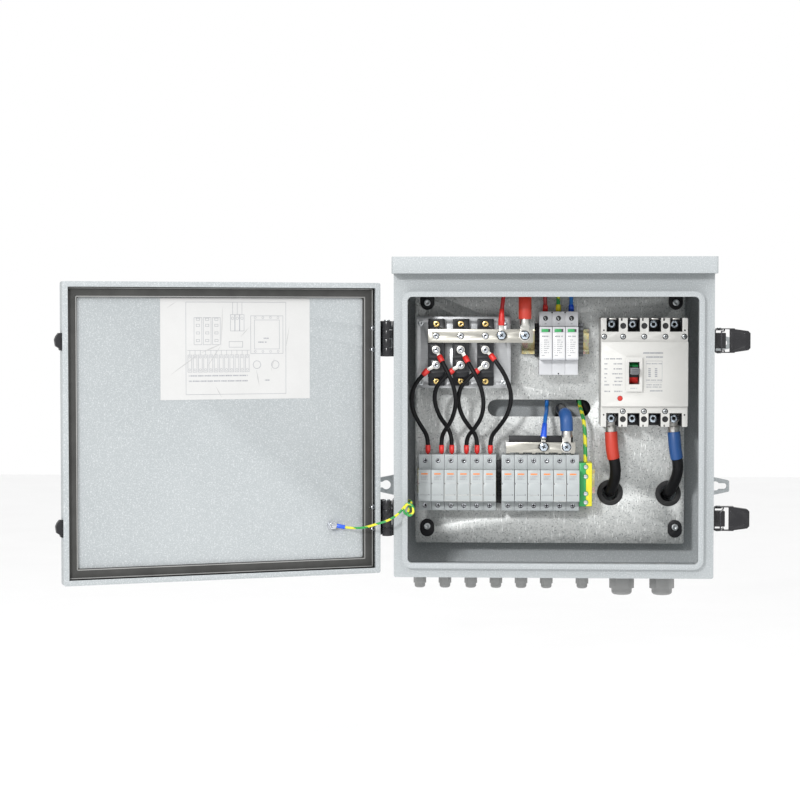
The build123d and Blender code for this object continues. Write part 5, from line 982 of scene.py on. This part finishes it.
piece = Piece("terminations_look", "enclosure", "red_sleeve", "wire_terminations")
piece.cad("wire_terminations", termination, 0.2)
sleeve = [(2.6, -6.6), (3.7, -6.6), (4.1, -4), (4.0, 1), (3.6, 3.4), (3.0, 3.6)]
for route in STRINGS.values():
    tube(piece, route[0], route[1], sleeve, "red")
    foot = route[-1]
    piece.lathe(at(*foot), UP, [(3.0, 3.2), (3.55, 3.0), (3.6, -3), (3.3, -7.5), (2.6, -7.8)], "red", 28)
sleeve = [(3.9, -9), (4.4, -8.6), (4.5, -2), (3.6, 6), (3.3, 14), (2.8, 14.2)]
tube(piece, RED_LEAD[-1], RED_LEAD[-2], sleeve, "red")
sleeve = [(3.9, -7), (4.2, -6.6), (4.3, -1), (3.7, 6), (3.3, 14), (2.8, 14.2)]
tube(piece, BLUE_LEAD[-1], BLUE_LEAD[-2], sleeve, "blue")
for route, material in ((RED_LEAD, "red"), (EARTH_LEAD, "yellow"), (BLUE_LEAD, "blue")):
    tube(piece, route[0], route[1], [(2.8, -0.4), (3.9, -0.4), (3.7, 6), (3.2, 9), (2.8, 9.2)], material)
piece.build(angle=50)

turns = [
    (-193.5 + r * math.cos(a), 198.5 + i * 0.85, -119 + r * 1.15 * math.sin(a))
    for i, (r, a) in enumerate((6.4 + (k % 3) * 0.5, math.radians(200 - 45 * k)) for k in range(17))
]
door_route = DOOR_LEAD[:-1] + [(-206, 205, -124)] + turns[1:-1] + DOOR_TAIL
cord("door_earth_lead", door_route, EARTH_D * 0.8, 214, "earth", "door",
     ["door_earth_wire"])

# ------------------------------------------------------------------ studio

bpy.ops.mesh.primitive_plane_add(size=1)
floor = bpy.context.object
floor.name = "studio_floor"
floor.scale = (14, 14, 1)
floor.location = (0, 0, -0.62)
floor.data.materials.append(finish("studio_white", (0.93, 0.93, 0.93), 0.8, 0, 60, 0.0, 0.01, 0.0))

world = bpy.data.worlds.new("studio")
bpy.context.scene.world = world
world.use_nodes = True
world.node_tree.nodes["Background"].inputs[0].default_value = (1, 1, 1, 1)
world.node_tree.nodes["Background"].inputs[1].default_value = 1.0
bpy.context.scene.view_settings.view_transform = "Standard"

LAMP_TARGET = Vector((0, -0.1, 0))


def lamp(name, place, size, power):
    light = bpy.data.lights.new(name, "AREA")
    light.energy = power
    light.size = size
    obj = bpy.data.objects.new(name, light)
    obj.location = place
    obj.rotation_euler = (LAMP_TARGET - Vector(place)).to_track_quat("-Z", "Y").to_euler()
    bpy.context.scene.collection.objects.link(obj)


lamp("key", (-1.0, -2.9, 0.9), 0.25, 42)
lamp("fill", (0.6, -2.4, 2.2), 1.6, 16)
lamp("top", (0.0, -0.6, 2.4), 1.8, 14)

camera = bpy.data.cameras.new("view")
camera.sensor_width = 36
camera.lens = 93.6
eye = bpy.data.objects.new("view", camera)
eye.location = (-0.072, -2.980, 0.1365)
eye.rotation_euler = (math.radians(90 - 2.24), 0, math.radians(2.75))
bpy.context.scene.collection.objects.link(eye)
bpy.context.scene.camera = eye

bpy.context.view_layer.update()
